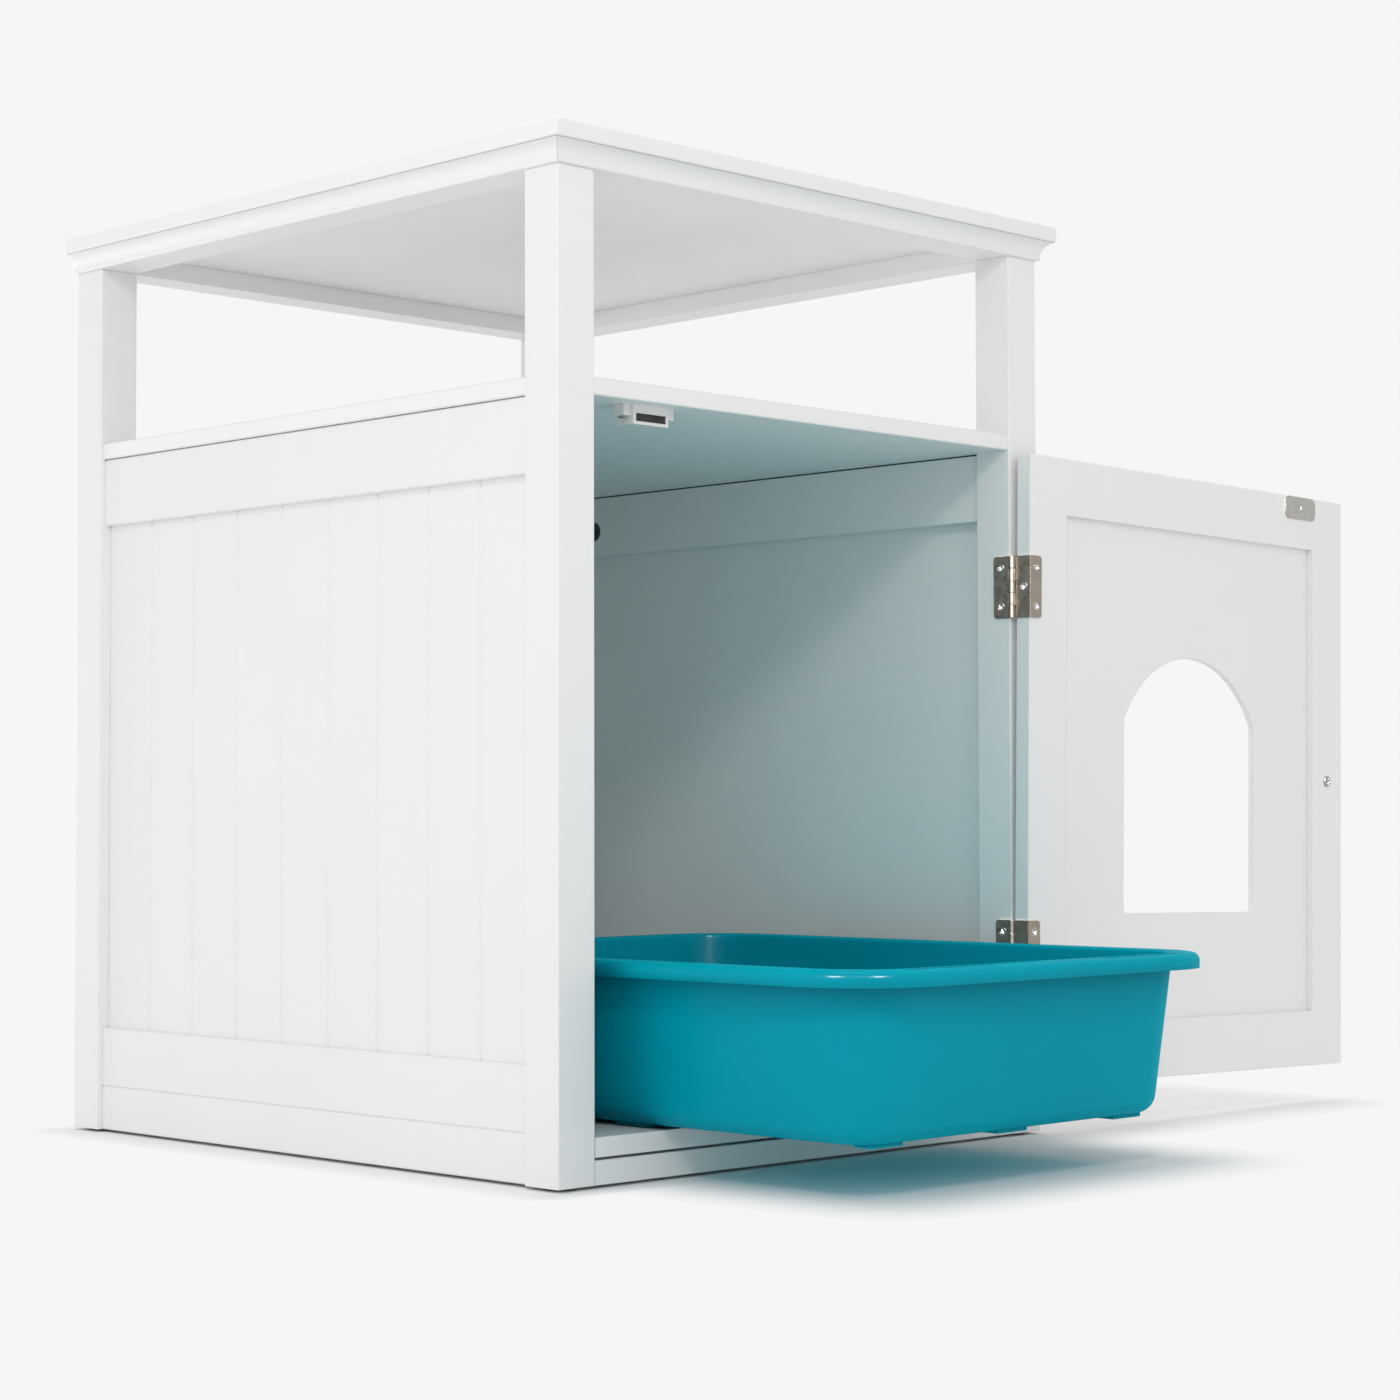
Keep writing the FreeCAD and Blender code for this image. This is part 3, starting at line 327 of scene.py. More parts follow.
# %% Mix the white paint
BOARD_WHITE = (0.885, 0.882, 0.876, 1)
EDGE_WHITE = (0.80, 0.79, 0.775, 1)
EDGE_RADIUS, EDGE_PATCH = 0.0007, 0.012
SEAM_SHADE_COLOUR, SEAM_SHADE_REACH = (0.16, 0.165, 0.16, 1), 0.0022
TONE_PATCH, GLOSS_PATCH = 0.09, 0.03
WAVE_SIZE, WAVE_DEPTH = 0.045, 0.00018
PEEL_SIZE, PEEL_DEPTH = 0.0016, 0.000018


def painted(name, open_joint=None):
    """White paint, with shade painted into narrow seams. open_joint is a function that gives 1 where a joint
    stands a hair open, and there the shade in the joint is painted dark.
    """
    made, tree, shader = new_finish(name, {"Specular IOR Level": 0.45})
    where = at_object(tree)
    rounded, on_edge = edges(tree, EDGE_RADIUS)
    thin_paint = maths(tree, "MULTIPLY", on_edge, spread(tree, noise(tree, where, EDGE_PATCH), 0.25, 1.0))
    board = tint(tree, spread(tree, noise(tree, where, TONE_PATCH), 0.0, 0.12), BOARD_WHITE, EDGE_WHITE)
    board = tint(tree, thin_paint, board, EDGE_WHITE)
    # Painted shade: in narrow seams and crevices, where little light gets in, the paint turns dark.
    openness = add(tree, "ShaderNodeAmbientOcclusion", {"Distance": SEAM_SHADE_REACH}, samples=6).outputs["AO"]
    board = tint(tree, spread(tree, openness, 0.0, 1.0, 0.42, 0.12), board, SEAM_SHADE_COLOUR)
    if open_joint:
        # Painted shade: the shade inside the open joint is painted dark.
        board = tint(tree, open_joint(tree, where), board, JOINT_SHADE_COLOUR)
    tree.links.new(board, shader.inputs["Base Color"])
    tree.links.new(spread(tree, noise(tree, where, GLOSS_PATCH), 0.38, 0.52), shader.inputs["Roughness"])
    wavy = bumped(tree, noise(tree, where, WAVE_SIZE, 1.0), WAVE_DEPTH, rounded)
    tree.links.new(bumped(tree, noise(tree, where, PEEL_SIZE, 1.5), PEEL_DEPTH, wavy), shader.inputs["Normal"])
    return made


white_paint = painted("white_paint")
print("mixed the white paint")

# %% [markdown]
# The shelf only lies on the side walls' upper rails. On the inside that joint stands a hair open, and the
# shade in it shows as a fine dark line. A groove would have to be cut in the boards. Here that shade is
# painted: the rails' paint turns dark in their last millimetre.

# %% Mix the rails' paint
# Colour of the painted shade in the rails' open joint.
JOINT_SHADE_COLOUR = (0.02, 0.026, 0.026, 1)
JOINT_H, JOINT_REACH = 0.0010, 0.0003
rail_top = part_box("right_upper_rail")[1].z
rail_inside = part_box("right_upper_rail")[0].x


def under_shelf(tree, where):
    """1 in the last millimetre of a side rail's inner face, where the open joint's shade is painted."""
    place = add(tree, "ShaderNodeSeparateXYZ", {0: where}).outputs
    high = maths(tree, "GREATER_THAN", place["Z"], rail_top - JOINT_H)
    inner = maths(tree, "LESS_THAN", maths(tree, "ABSOLUTE", place["X"]), rail_inside + JOINT_REACH)
    return maths(tree, "MULTIPLY", high, inner)


rail_paint = painted("rail_paint", under_shelf)
print("joint line at", round(rail_top, 4), "on the rails' faces", round(rail_inside, 4), "from the middle")

# %% [markdown]
# ## Teal plastic
# The pan is moulded in one shot of coloured plastic. The tool was polished, so the rim shines, but the tub has
# a very fine texture and sinks a little where the plastic cooled. The colour is the same all through. In the
# corners and under the rim, where little light gets in, shade is painted into it.

# %% Mix the teal plastic
TEAL = (0.0, 0.34, 0.448, 1)
TEAL_DEEP = (0.0, 0.315, 0.415, 1)
TEAL_PAINTED_SHADE = (0.0, 0.20, 0.275, 1)
PAINTED_SHADE_REACH = 0.03
TEAL_PATCH, SHINE_PATCH = 0.12, 0.02
TOOL_GRAIN, TOOL_GRAIN_DEPTH = 0.0011, 0.000005
SINK_SIZE, SINK_DEPTH = 0.08, 0.00012

teal_plastic, tree, shader = new_finish("teal_plastic", {
    "Specular IOR Level": 0.0, "Coat Weight": 0.10, "Coat IOR": 1.6, "Coat Roughness": 0.20,
    "Subsurface Weight": 0.5, "Subsurface Radius": (0.15, 1.0, 1.0), "Subsurface Scale": 0.006})
where = at_object(tree)
colour = tint(tree, spread(tree, noise(tree, where, TEAL_PATCH), 0, 1), TEAL, TEAL_DEEP)
# Painted shade: in the corners and under the rim, where little light gets in, the teal turns darker.
openness = add(tree, "ShaderNodeAmbientOcclusion", {"Distance": PAINTED_SHADE_REACH}, samples=8).outputs["AO"]
colour = tint(tree, spread(tree, openness, 0, 1, 0.95, 0.45), colour, TEAL_PAINTED_SHADE)
tree.links.new(colour, shader.inputs["Base Color"])
tree.links.new(spread(tree, noise(tree, where, SHINE_PATCH), 0.09, 0.15), shader.inputs["Roughness"])
grain = bumped(tree, noise(tree, where, TOOL_GRAIN, 1.0), TOOL_GRAIN_DEPTH)
tree.links.new(bumped(tree, noise(tree, where, SINK_SIZE, 0.0), SINK_DEPTH, grain), shader.inputs["Normal"])
print("mixed the teal plastic")

# %% [markdown]
# ## The small finishes
# Metals and small plastic pieces share one recipe: two shades that drift, a gloss that drifts, a fine grain
# in the surface and paler or darker edges. Each gets its own numbers, in the order of the table below.

# %% Mix the small finishes
SMALL_EDGE, TONE_SPOT, WORN_SPOT, GLOSS_SPOT = 0.0004, 0.008, 0.003, 0.004
SMALL = {
    # name: colour, second colour, edge colour,
    #       metal, gloss low and high, grain size, grain depth
    "zinc_steel": (
        (0.42, 0.415, 0.40), (0.33, 0.325, 0.31), (0.62, 0.61, 0.59),
        1.0, 0.26, 0.42, 0.0006, 0.000010),
    "dark_bronze": (
        (0.34, 0.295, 0.245), (0.27, 0.24, 0.205), (0.46, 0.36, 0.30),
        1.0, 0.26, 0.38, 0.0008, 0.000010),
    "satin_nickel": (
        (0.47, 0.455, 0.425), (0.40, 0.385, 0.36), (0.62, 0.60, 0.56),
        1.0, 0.24, 0.36, 0.0005, 0.000008),
    "magnet": (
        (0.022, 0.022, 0.023), (0.045, 0.044, 0.043), (0.09, 0.088, 0.085),
        0.25, 0.45, 0.65, 0.0007, 0.000020),
    "cam_black": (
        (0.022, 0.022, 0.022), (0.035, 0.034, 0.033), (0.10, 0.10, 0.10),
        0.0, 0.40, 0.58, 0.0009, 0.000016),
    "white_plastic": (
        (0.80, 0.80, 0.79), (0.76, 0.76, 0.75), (0.84, 0.84, 0.83),
        0.0, 0.28, 0.40, 0.0010, 0.000012),
    "glide_plastic": (
        (0.105, 0.070, 0.052), (0.080, 0.055, 0.042), (0.16, 0.12, 0.10),
        0.0, 0.45, 0.62, 0.0009, 0.000016),
}


def small_finish(name, colour, second, edge, metal, gloss_low, gloss_high, grain_size, grain_depth):
    """One finish of the table."""
    made, tree, shader = new_finish(name, {"Metallic": metal})
    where = at_object(tree)
    rounded, on_edge = edges(tree, SMALL_EDGE)
    body = tint(tree, spread(tree, noise(tree, where, TONE_SPOT), 0, 1), (*colour, 1), (*second, 1))
    worn = maths(tree, "MULTIPLY", on_edge, spread(tree, noise(tree, where, WORN_SPOT), 0.2, 1.0))
    tree.links.new(tint(tree, worn, body, (*edge, 1)), shader.inputs["Base Color"])
    gloss = spread(tree, noise(tree, where, GLOSS_SPOT), gloss_low, gloss_high)
    tree.links.new(gloss, shader.inputs["Roughness"])
    grain = bumped(tree, noise(tree, where, grain_size, 1.5), grain_depth, rounded)
    tree.links.new(grain, shader.inputs["Normal"])
    return made


finishes = {name: small_finish(name, *numbers) for name, numbers in SMALL.items()}
print("mixed", ", ".join(finishes))

# %% [markdown]
# ## Bare birch
# The dowels are unpainted birch. Their grain runs along the peg, so a stretched noise makes long fibres.

# %% Mix the bare wood
BIRCH, BIRCH_FIBRE = (0.60, 0.42, 0.24, 1), (0.44, 0.28, 0.145, 1)
FIBRE_STRETCH = (1.0, 1.0, 0.08)
FIBRE_SIZE, FIBRE_DEPTH = 0.0012, 0.00006

bare_wood, tree, shader = new_finish("bare_birch", {"Roughness": 0.6, "Specular IOR Level": 0.3})
along = add(tree, "ShaderNodeMapping", {"Vector": at_object(tree), "Scale": FIBRE_STRETCH}).outputs[0]
fibre = noise(tree, along, FIBRE_SIZE, 4.0, 0.6)
tree.links.new(tint(tree, spread(tree, fibre, 0, 1), BIRCH, BIRCH_FIBRE), shader.inputs["Base Color"])
tree.links.new(bumped(tree, fibre, FIBRE_DEPTH), shader.inputs["Normal"])
print("mixed the bare birch")

# %% Give every piece its finish
finishes.update(white_board=white_paint, teal_plastic=teal_plastic, bare_wood=bare_wood)
own_finish = {"left_upper_rail": rail_paint, "right_upper_rail": rail_paint}
for name, piece in nodes.items():
    finish = own_finish.get(name, finishes[slot_of[name]])
    if piece.data.materials:
        for place in piece.material_slots:
            place.link = "OBJECT"
            place.material = finish
    else:
        piece.data.materials.append(finish)
print("finished", len(nodes), "pieces")

# %% [markdown]
# ## The litter pan
# A moulded pan is one section carried round a rounded rectangle: floor, wall, a broad rim and a turned-down
# lip. It could be shaped by hand from a cube. Here the section is drawn once, from the real sizes, and
# Geometry Nodes sweep it round the outline, so that a wider rim or a deeper tub is one number. Two fills
# close the floor and the underside.

# %% Sizes of the pan
PAN_WALL, RIM_W, LIP, FLARE = 0.0024, 0.017, 0.0097, 0.013
RIM_ROUND, BASE_ROUND, FOOT = 0.005, 0.013, 0.0022
INNER_RIM_ROUND, UNDER_RIM_ROUND, LIP_ROUND = 0.0022, 0.002, 0.0004
RIM_CORNER = 0.0557
FLOOR_REACH = 0.006  # how far the section runs into the flat floor

pan_low, pan_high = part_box("litter_pan")
pan_bottom, pan_top = pan_low.z, pan_high.z
tub_bottom = pan_bottom + FOOT
tub_height = pan_top - tub_bottom
inner_floor = tub_bottom + PAN_WALL
floor_inset = RIM_W + FLARE + BASE_ROUND + FLOOR_REACH
print("tub", round(1000 * tub_height, 1), "mm high, its floor starts", round(1000 * floor_inset, 1), "mm in")

# %% A helper that rounds the corners of a path
def rounded_path(points, radii, steps=8):
    """Points of a path whose corners are rounded. The first and last points have no corner."""
    path = [points[0]]
    for before, corner, after, radius in zip(points, points[1:], points[2:], radii):
        a = (Vector(before) - Vector(corner)).normalized()
        b = (Vector(after) - Vector(corner)).normalized()
        half = a.angle(b) / 2
        reach = radius / math.tan(half)
        centre = Vector(corner) + (a + b).normalized() * radius / math.sin(half)
        start, end = Vector(corner) + a * reach, Vector(corner) + b * reach
        sweep = (start - centre).angle_signed(end - centre)
        for n in range(steps + 1):
            arm = (start - centre).copy()
            arm.rotate(Matrix.Rotation(-sweep * n / steps, 2))
            path.append(centre + arm)
    path.append(points[-1])
    return [tuple(p) for p in path]


# %% Draw the pan's section
inside = [
    (floor_inset, inner_floor),
    (RIM_W + PAN_WALL + FLARE * (pan_top - inner_floor) / tub_height, inner_floor),
    (RIM_W + PAN_WALL, pan_top),
    (0.0, pan_top),
    (0.0, pan_top - LIP),
]
inside_radii = (BASE_ROUND - PAN_WALL, INNER_RIM_ROUND, RIM_ROUND)
outside = [
    (0.0, pan_top - LIP),
    (PAN_WALL, pan_top - LIP),
    (PAN_WALL, pan_top - PAN_WALL),
    (RIM_W + FLARE * PAN_WALL / tub_height, pan_top - PAN_WALL),
    (RIM_W + FLARE, tub_bottom),
    (floor_inset, tub_bottom),
]
outside_radii = (LIP_ROUND, RIM_ROUND - PAN_WALL, UNDER_RIM_ROUND, BASE_ROUND)
section = rounded_path(inside, inside_radii) + rounded_path(outside, outside_radii)[1:]
print("section of", len(section), "points,", round(1000 * (pan_top - pan_bottom), 1), "mm high")

# %% The sockets of the pan's Geometry Nodes
def socket(tree, name, kind, value=None):
    """Adds an input to a node group and returns its identifier."""
    made = tree.interface.new_socket(name, in_out="INPUT", socket_type=kind)
    if value is not None:
        made.default_value = value
    return made.identifier


pan_tree = bpy.data.node_groups.new("swept_pan", "GeometryNodeTree")
pan_inputs = {
    "Width": socket(pan_tree, "Width", "NodeSocketFloat", 0.3),
    "Length": socket(pan_tree, "Length", "NodeSocketFloat", 0.4),
    "Corner": socket(pan_tree, "Corner", "NodeSocketFloat", 0.05),
    "Steps": socket(pan_tree, "Steps", "NodeSocketInt", 16),
    "Floor Inset": socket(pan_tree, "Floor Inset", "NodeSocketFloat", 0.04),
    "Floor Height": socket(pan_tree, "Floor Height", "NodeSocketFloat", 0.03),
    "Underside Height": socket(pan_tree, "Underside Height", "NodeSocketFloat", 0.03),
    "Section": socket(pan_tree, "Section", "NodeSocketObject"),
    "Finish": socket(pan_tree, "Finish", "NodeSocketMaterial"),
}
pan_tree.interface.new_socket("Geometry", in_out="OUTPUT", socket_type="NodeSocketGeometry")
given = add(pan_tree, "NodeGroupInput").outputs
print("swept_pan takes", ", ".join(pan_inputs))

# %% The pan's Geometry Nodes: the sweep
def outline(tree, width, length, corner, steps):
    """A rounded rectangle that faces up."""
    box = add(tree, "GeometryNodeCurvePrimitiveQuadrilateral", {"Width": width, "Height": length})
    corners = {"Curve": box.outputs[0], "Radius": corner, "Count": steps}
    rounded = add(tree, "GeometryNodeFilletCurve", corners, mode="POLY")
    rounded.inputs["Limit Radius"].default_value = False
    return add(tree, "GeometryNodeSetCurveNormal", {"Curve": rounded.outputs[0]}, mode="Z_UP").outputs[0]


rim_outline = outline(pan_tree, given["Width"], given["Length"], given["Corner"], given["Steps"])
drawn = add(pan_tree, "GeometryNodeObjectInfo", {"Object": given["Section"]}).outputs["Geometry"]
drawn = add(pan_tree, "GeometryNodeMeshToCurve", {"Mesh": drawn}).outputs[0]
swept = add(pan_tree, "GeometryNodeCurveToMesh", {"Curve": rim_outline, "Profile Curve": drawn}).outputs[0]

# %% The pan's Geometry Nodes: floor and underside
floor_width = maths(pan_tree, "MULTIPLY_ADD", given["Floor Inset"], -2.0, given["Width"])
floor_length = maths(pan_tree, "MULTIPLY_ADD", given["Floor Inset"], -2.0, given["Length"])
floor_corner = maths(pan_tree, "SUBTRACT", given["Corner"], given["Floor Inset"])
sheet = outline(pan_tree, floor_width, floor_length, floor_corner, given["Steps"])
filled = add(pan_tree, "GeometryNodeFillCurve", {"Curve": sheet}, mode="NGONS").outputs[0]
lifted = add(pan_tree, "ShaderNodeCombineXYZ", {"Z": given["Floor Height"]}).outputs[0]
lowered = add(pan_tree, "ShaderNodeCombineXYZ", {"Z": given["Underside Height"]}).outputs[0]
upper = add(pan_tree, "GeometryNodeTransform", {"Geometry": filled, "Translation": lifted}).outputs[0]
lower = add(pan_tree, "GeometryNodeTransform", {"Geometry": filled, "Translation": lowered}).outputs[0]

# %% The pan's Geometry Nodes: one closed skin
SAME_POINT = 0.00002

whole = add(pan_tree, "GeometryNodeJoinGeometry")
for part in (swept, upper, lower):
    pan_tree.links.new(part, whole.inputs[0])
merged = {"Geometry": whole.outputs[0], "Distance": SAME_POINT}
closed = add(pan_tree, "GeometryNodeMergeByDistance", merged).outputs[0]


def finish_group(tree, geometry, finish):
    """Makes instances real, gives the finish and hands the geometry out."""
    real = add(tree, "GeometryNodeRealizeInstances", {"Geometry": geometry}).outputs[0]
    coloured = add(tree, "GeometryNodeSetMaterial", {"Geometry": real, "Material": finish}).outputs[0]
    add(tree, "NodeGroupOutput", {0: coloured})
    print(tree.name, "has", len(tree.nodes), "nodes")


finish_group(pan_tree, closed, given["Finish"])

# %% [markdown]
# A modifier's inputs are set by the socket's identifier before the object is first evaluated.
# new_from_object then reads the finished mesh, and the modifier and the drawn section are thrown away.

# %% A helper that runs Geometry Nodes
def grown(name, tree, identifiers, values, base=None):
    """Runs a Geometry Nodes tree and returns the result as a plain mesh."""
    host = put_in_scene(bpy.data.objects.new(name, base or bpy.data.meshes.new(name)))
    modifier = host.modifiers.new("grow", "NODES")
    modifier.node_group = tree
    for key, value in values.items():
        modifier[identifiers[key]] = value
    ready = host.evaluated_get(bpy.context.evaluated_depsgraph_get())
    mesh = bpy.data.meshes.new_from_object(ready)
    bpy.data.objects.remove(host)
    mesh.name = name
    return mesh


# %% Sweep the pan
CORNER_STEPS = 20

section_mesh = bpy.data.meshes.new("pan_section")
along_section = [(n, n + 1) for n in range(len(section) - 1)]
section_mesh.from_pydata([(-inset, -height, 0) for inset, height in section], along_section, [])
section_line = put_in_scene(bpy.data.objects.new("pan_section", section_mesh))
pan_mesh = grown("pan_body", pan_tree, pan_inputs, {
    "Width": pan_high.x - pan_low.x,
    "Length": pan_high.y - pan_low.y,
    "Corner": RIM_CORNER,
    "Steps": CORNER_STEPS,
    "Floor Inset": floor_inset,
    "Floor Height": inner_floor,
    "Underside Height": tub_bottom,
    "Section": section_line,
    "Finish": teal_plastic,
})
bpy.data.objects.remove(section_line)
low = [round(min(v.co[i] for v in pan_mesh.vertices), 4) for i in range(3)]
high = [round(max(v.co[i] for v in pan_mesh.vertices), 4) for i in range(3)]
print("pan swept:", len(pan_mesh.polygons), "faces, from", low, "to", high)

# %% Helpers that make and join pieces
def moulded_block(middle, size, soft):
    """A block with softened edges, as mesh data in bmesh."""
    made = bmesh.new()
    bmesh.ops.create_cube(made, size=1.0, matrix=Matrix.Translation(middle) @ Matrix.Diagonal((*size, 1)))
    bmesh.ops.bevel(made, geom=made.edges[:], offset=soft, segments=3, profile=0.5, affect="EDGES")
    return made


def as_mesh(name, made):
    """Turns a bmesh into a mesh and frees it."""
    mesh = bpy.data.meshes.new(name)
    made.to_mesh(mesh)
    made.free()
    return mesh


def join_into(target, source):
    """Adds one bmesh to another."""
    spare = as_mesh("spare", source)
    target.from_mesh(spare)
    bpy.data.meshes.remove(spare)


def new_piece(name, made, finish, body, smooth=True):
    """Turns a bmesh or a mesh into a piece of the object that rides on a body."""
    mesh = as_mesh(name, made) if isinstance(made, bmesh.types.BMesh) else made
    if not mesh.materials:
        mesh.materials.append(finish)
    mesh.polygons.foreach_set("use_smooth", [smooth] * len(mesh.polygons))
    piece = put_in_scene(bpy.data.objects.new(name, mesh))
    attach(piece, body)
    return piece


# %% Put the pan in its place and on its feet
FOOT_SIZE, FOOT_IN, FOOT_SOFT = (0.028, 0.014), 0.017, 0.0007

pan_middle = (pan_low + pan_high) / 2
body_shell = bmesh.new()
body_shell.from_mesh(pan_mesh)
bmesh.ops.translate(body_shell, verts=body_shell.verts, vec=(pan_middle.x, pan_middle.y, 0))
bmesh.ops.recalc_face_normals(body_shell, faces=body_shell.faces)
half_x = (pan_high.x - pan_low.x) / 2 - RIM_W - FLARE - FOOT_IN - FOOT_SIZE[0] / 2
half_y = (pan_high.y - pan_low.y) / 2 - RIM_W - FLARE - FOOT_IN
feet = [((sx * half_x, sy * half_y), FOOT_SIZE) for sx in (-1, 0, 1) for sy in (-1, 1)]
feet += [((sx * (half_x + FOOT_SIZE[0] / 2), 0), FOOT_SIZE[::-1]) for sx in (-1, 1)]
for (x, y), (along_x, along_y) in feet:
    middle = Vector((pan_middle.x + x, pan_middle.y + y, pan_bottom + FOOT))
    join_into(body_shell, moulded_block(middle, (along_x, along_y, 2 * FOOT), FOOT_SOFT))
print(len(feet), "feet", round(1000 * FOOT, 1), "mm high")

# %% [markdown]
# The front rim carries two shallow strips for a label or a grip, either side of its plain middle. They are
# cut with a Boolean, because they break the section for a short way only.

# %% Cut the two strips in the front rim
STRIP_GAP, STRIP_SIZE, STRIP_DEEP = 0.104, (0.078, 0.008), 0.0008
STRIP_FROM_ROUND, STRIP_SOFT = 0.001, 0.0003

cutter = bmesh.new()
for side in (-1, 1):
    x = pan_middle.x + side * (STRIP_GAP + STRIP_SIZE[0]) / 2
    y = pan_low.y + RIM_ROUND + STRIP_SIZE[1] / 2 + STRIP_FROM_ROUND
    join_into(cutter, moulded_block(Vector((x, y, pan_top)), (*STRIP_SIZE, 2 * STRIP_DEEP), STRIP_SOFT))
uncut_mesh = as_mesh("uncut_pan", body_shell)
uncut_mesh.materials.append(teal_plastic)
uncut = put_in_scene(bpy.data.objects.new("uncut_pan", uncut_mesh))
cutter_piece = put_in_scene(bpy.data.objects.new("strip_cutter", as_mesh("strip_cutter", cutter)))
cut = uncut.modifiers.new("strips", "BOOLEAN")
cut.operation, cut.object, cut.solver = "DIFFERENCE", cutter_piece, "EXACT"
pan_mesh = bpy.data.meshes.new_from_object(uncut.evaluated_get(bpy.context.evaluated_depsgraph_get()))
print("strips cut:", len(uncut_mesh.polygons), "faces before,", len(pan_mesh.polygons), "after")
for made in (cutter_piece, uncut):
    bpy.data.objects.remove(made)

# %% Make the pan a piece
litter_pan = new_piece("moulded_pan", pan_mesh, teal_plastic, "pan")
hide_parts("litter_pan")
print("pan with", len(feet), "feet:", len(litter_pan.data.polygons), "faces")

# %% [markdown]
# The pan stands in full light before the cupboard, throws a strong teal glow into it, and lets a little
# light through its thin floor. Bounced light alone gives a part of that. Two weak teal lamps give the rest:
# one lies in the pan's mouth and shines up, one hangs under its front and shines down. They are the pan's
# children, so they slide with it.

# %% Add the pan's glow
GLOW_BELOW_RIM, SHINE_FROM_FRONT, SHINE_BELOW_FEET = 0.004, 0.122, 0.002
MOUTH_AT = (pan_middle.x, pan_middle.y, pan_high.z - GLOW_BELOW_RIM)
UNDER_FRONT_AT = (pan_middle.x, pan_low.y + SHINE_FROM_FRONT, pan_low.z - SHINE_BELOW_FEET)
GLOWS = {
    "pan_glow": (MOUTH_AT, (0, 0, 1), 0.0, (0.29, 0.40), 0.12, (0.0, 0.88, 0.95)),
    "pan_shine": (UNDER_FRONT_AT, (0, 0, -1), 0.0, (0.24, 0.15), 0.009, (0.0, 0.9, 1.0)),
}
for name, numbers in GLOWS.items():
    lamp = soft_lamp(name, *numbers)
    lamp.visible_camera = False
    lamp.visible_glossy = False
    lamp.parent = litter_pan

# %% [markdown]
# ## The screws
# Countersunk screws hold the hinges and the strike plate, and round-headed ones hold the catch and the
# knob. The same screw comes again and again, so one is modelled and Geometry Nodes set a copy on each
# place. The CAD's own screws say where: each solid gives the middle of its head, the way it points, its
# width and its length.

# %% A helper that takes a node's solids apart
SAME_PLACE = 1e-6


def solids_of(node):
    """The separate solids of a CAD node, as arrays of points, read from a merged copy of its mesh."""
    copy = bmesh.new()
    copy.from_mesh(nodes[node].data)
    bmesh.ops.remove_doubles(copy, verts=copy.verts, dist=SAME_PLACE)
    left, solids = set(copy.verts), []
    while left:
        group, front = set(), [left.pop()]
        while front:
            vert = front.pop()
            group.add(vert)
            near = {edge.other_vert(vert) for edge in vert.link_edges} & left
            left -= near
            front.extend(near)
        solids.append(np.array([vert.co[:] for vert in group]))
    copy.free()
    return solids


# %% Measure the CAD's screws
END_DEPTH = 0.00015  # points this near either end of a screw belong to its end face


def measure_screw(points):
    """Middle of the head's outer face, the way it looks, the head's radius and the whole length."""
    axis = np.linalg.svd(points - points.mean(0), full_matrices=False)[2][0]
    along = points @ axis
    ends = []
    for end in (along.min(), along.max()):
        rim = points[np.abs(along - end) < END_DEPTH]
        middle = (rim.max(0) + rim.min(0)) / 2
        ends.append((np.linalg.norm(rim - middle, axis=1).max(), middle))
    (_, tip), (_, head) = sorted(ends, key=lambda end: end[0])
    length = float(np.linalg.norm(head - tip))
    way = (head - tip) / length
    off = points - head
    radius = np.linalg.norm(off - np.outer(off @ way, way), axis=1).max()
    return Vector(head), Vector(way), float(radius), length


SCREW_NODES = {
    "cabinet": {"flush": ["hinge_post_screws"], "domed": ["catch_screws"]},
    "door": {"flush": ["hinge_door_screws", "strike_screw"], "domed": ["knob_screw"]},
}
measured = {}
for body, kinds in SCREW_NODES.items():
    for kind, names in kinds.items():
        for name in names:
            measured[name] = [measure_screw(points) for points in solids_of(name)]
            for head, way, radius, length in measured[name]:
                told = [round(v, 4) for v in head], "looks along", [round(v, 2) for v in way]
                print(body, kind, name, *told, "head radius", round(radius, 4), "length", round(length, 4))

# %% [markdown]
# The cross in the head is pressed with a tapered punch, so its four arms get shallower outwards and its
# walls slope. A boolean would cut straight walls. Here the head is a fine disc of rings, and each point
# sinks by a rule.

# %% The rule of the cross
# Every number here is a share of the head's radius.
ARM_HALF, ARM_WALL = 0.19, 0.07
ARM_REACH, ARM_END = 0.66, 0.10
CROSS_DEEP, CROSS_RISE = 0.52, 0.75


def cross_depth(x, y):
    """Depth of the cross at a point of a head of radius 1."""
    reach = math.hypot(x, y)
    across = min(abs(x), abs(y))
    wall = min(1.0, max(0.0, (ARM_HALF - across) / ARM_WALL))
    end = min(1.0, max(0.0, (ARM_REACH - reach) / ARM_END))
    return CROSS_DEEP * wall * end * (1.0 - CROSS_RISE * reach / ARM_REACH)


print("cross", cross_depth(0, 0), "deep in the middle,", round(cross_depth(0.5, 0), 3), "half way out")

# %% The outline of one screw
RINGS, FACE = 16, 0.97
DOME_RISE, DOME_REACH, FLUSH_DISH = 0.42, 0.93, 0.03
HEAD_EDGE, SEAT_STEP = 0.035, 0.01
DOMED_SEAT, FLUSH_SEAT = -0.58, -0.42
SHANK, POINT_LENGTH, POINT = 0.5, 0.5, 0.12


def screw_outline(tip, domed):
    """Rings from the middle of the head to the tip: reach, height, and whether the cross may sink them."""
    rings = []
    for ring in range(1, RINGS + 1):
        reach = FACE * ring / RINGS
        dome = DOME_RISE * (1 - math.sqrt(max(0.0, 1 - (DOME_REACH * reach) ** 2)))
        rings.append((reach, -dome if domed else -FLUSH_DISH * reach ** 2, True))
    edge, seat = rings[-1][1], DOMED_SEAT if domed else FLUSH_SEAT
    underside = 1.0 if domed else SHANK
    rings += [(1.0, edge - HEAD_EDGE, False), (underside, seat, False), (SHANK, seat - SEAT_STEP, False)]
    return rings + [(SHANK, tip + POINT_LENGTH, False), (POINT, tip, False)]


print("a flush screw has", len(screw_outline(-4.0, False)), "rings")

# %% Model one screw
AROUND = 56


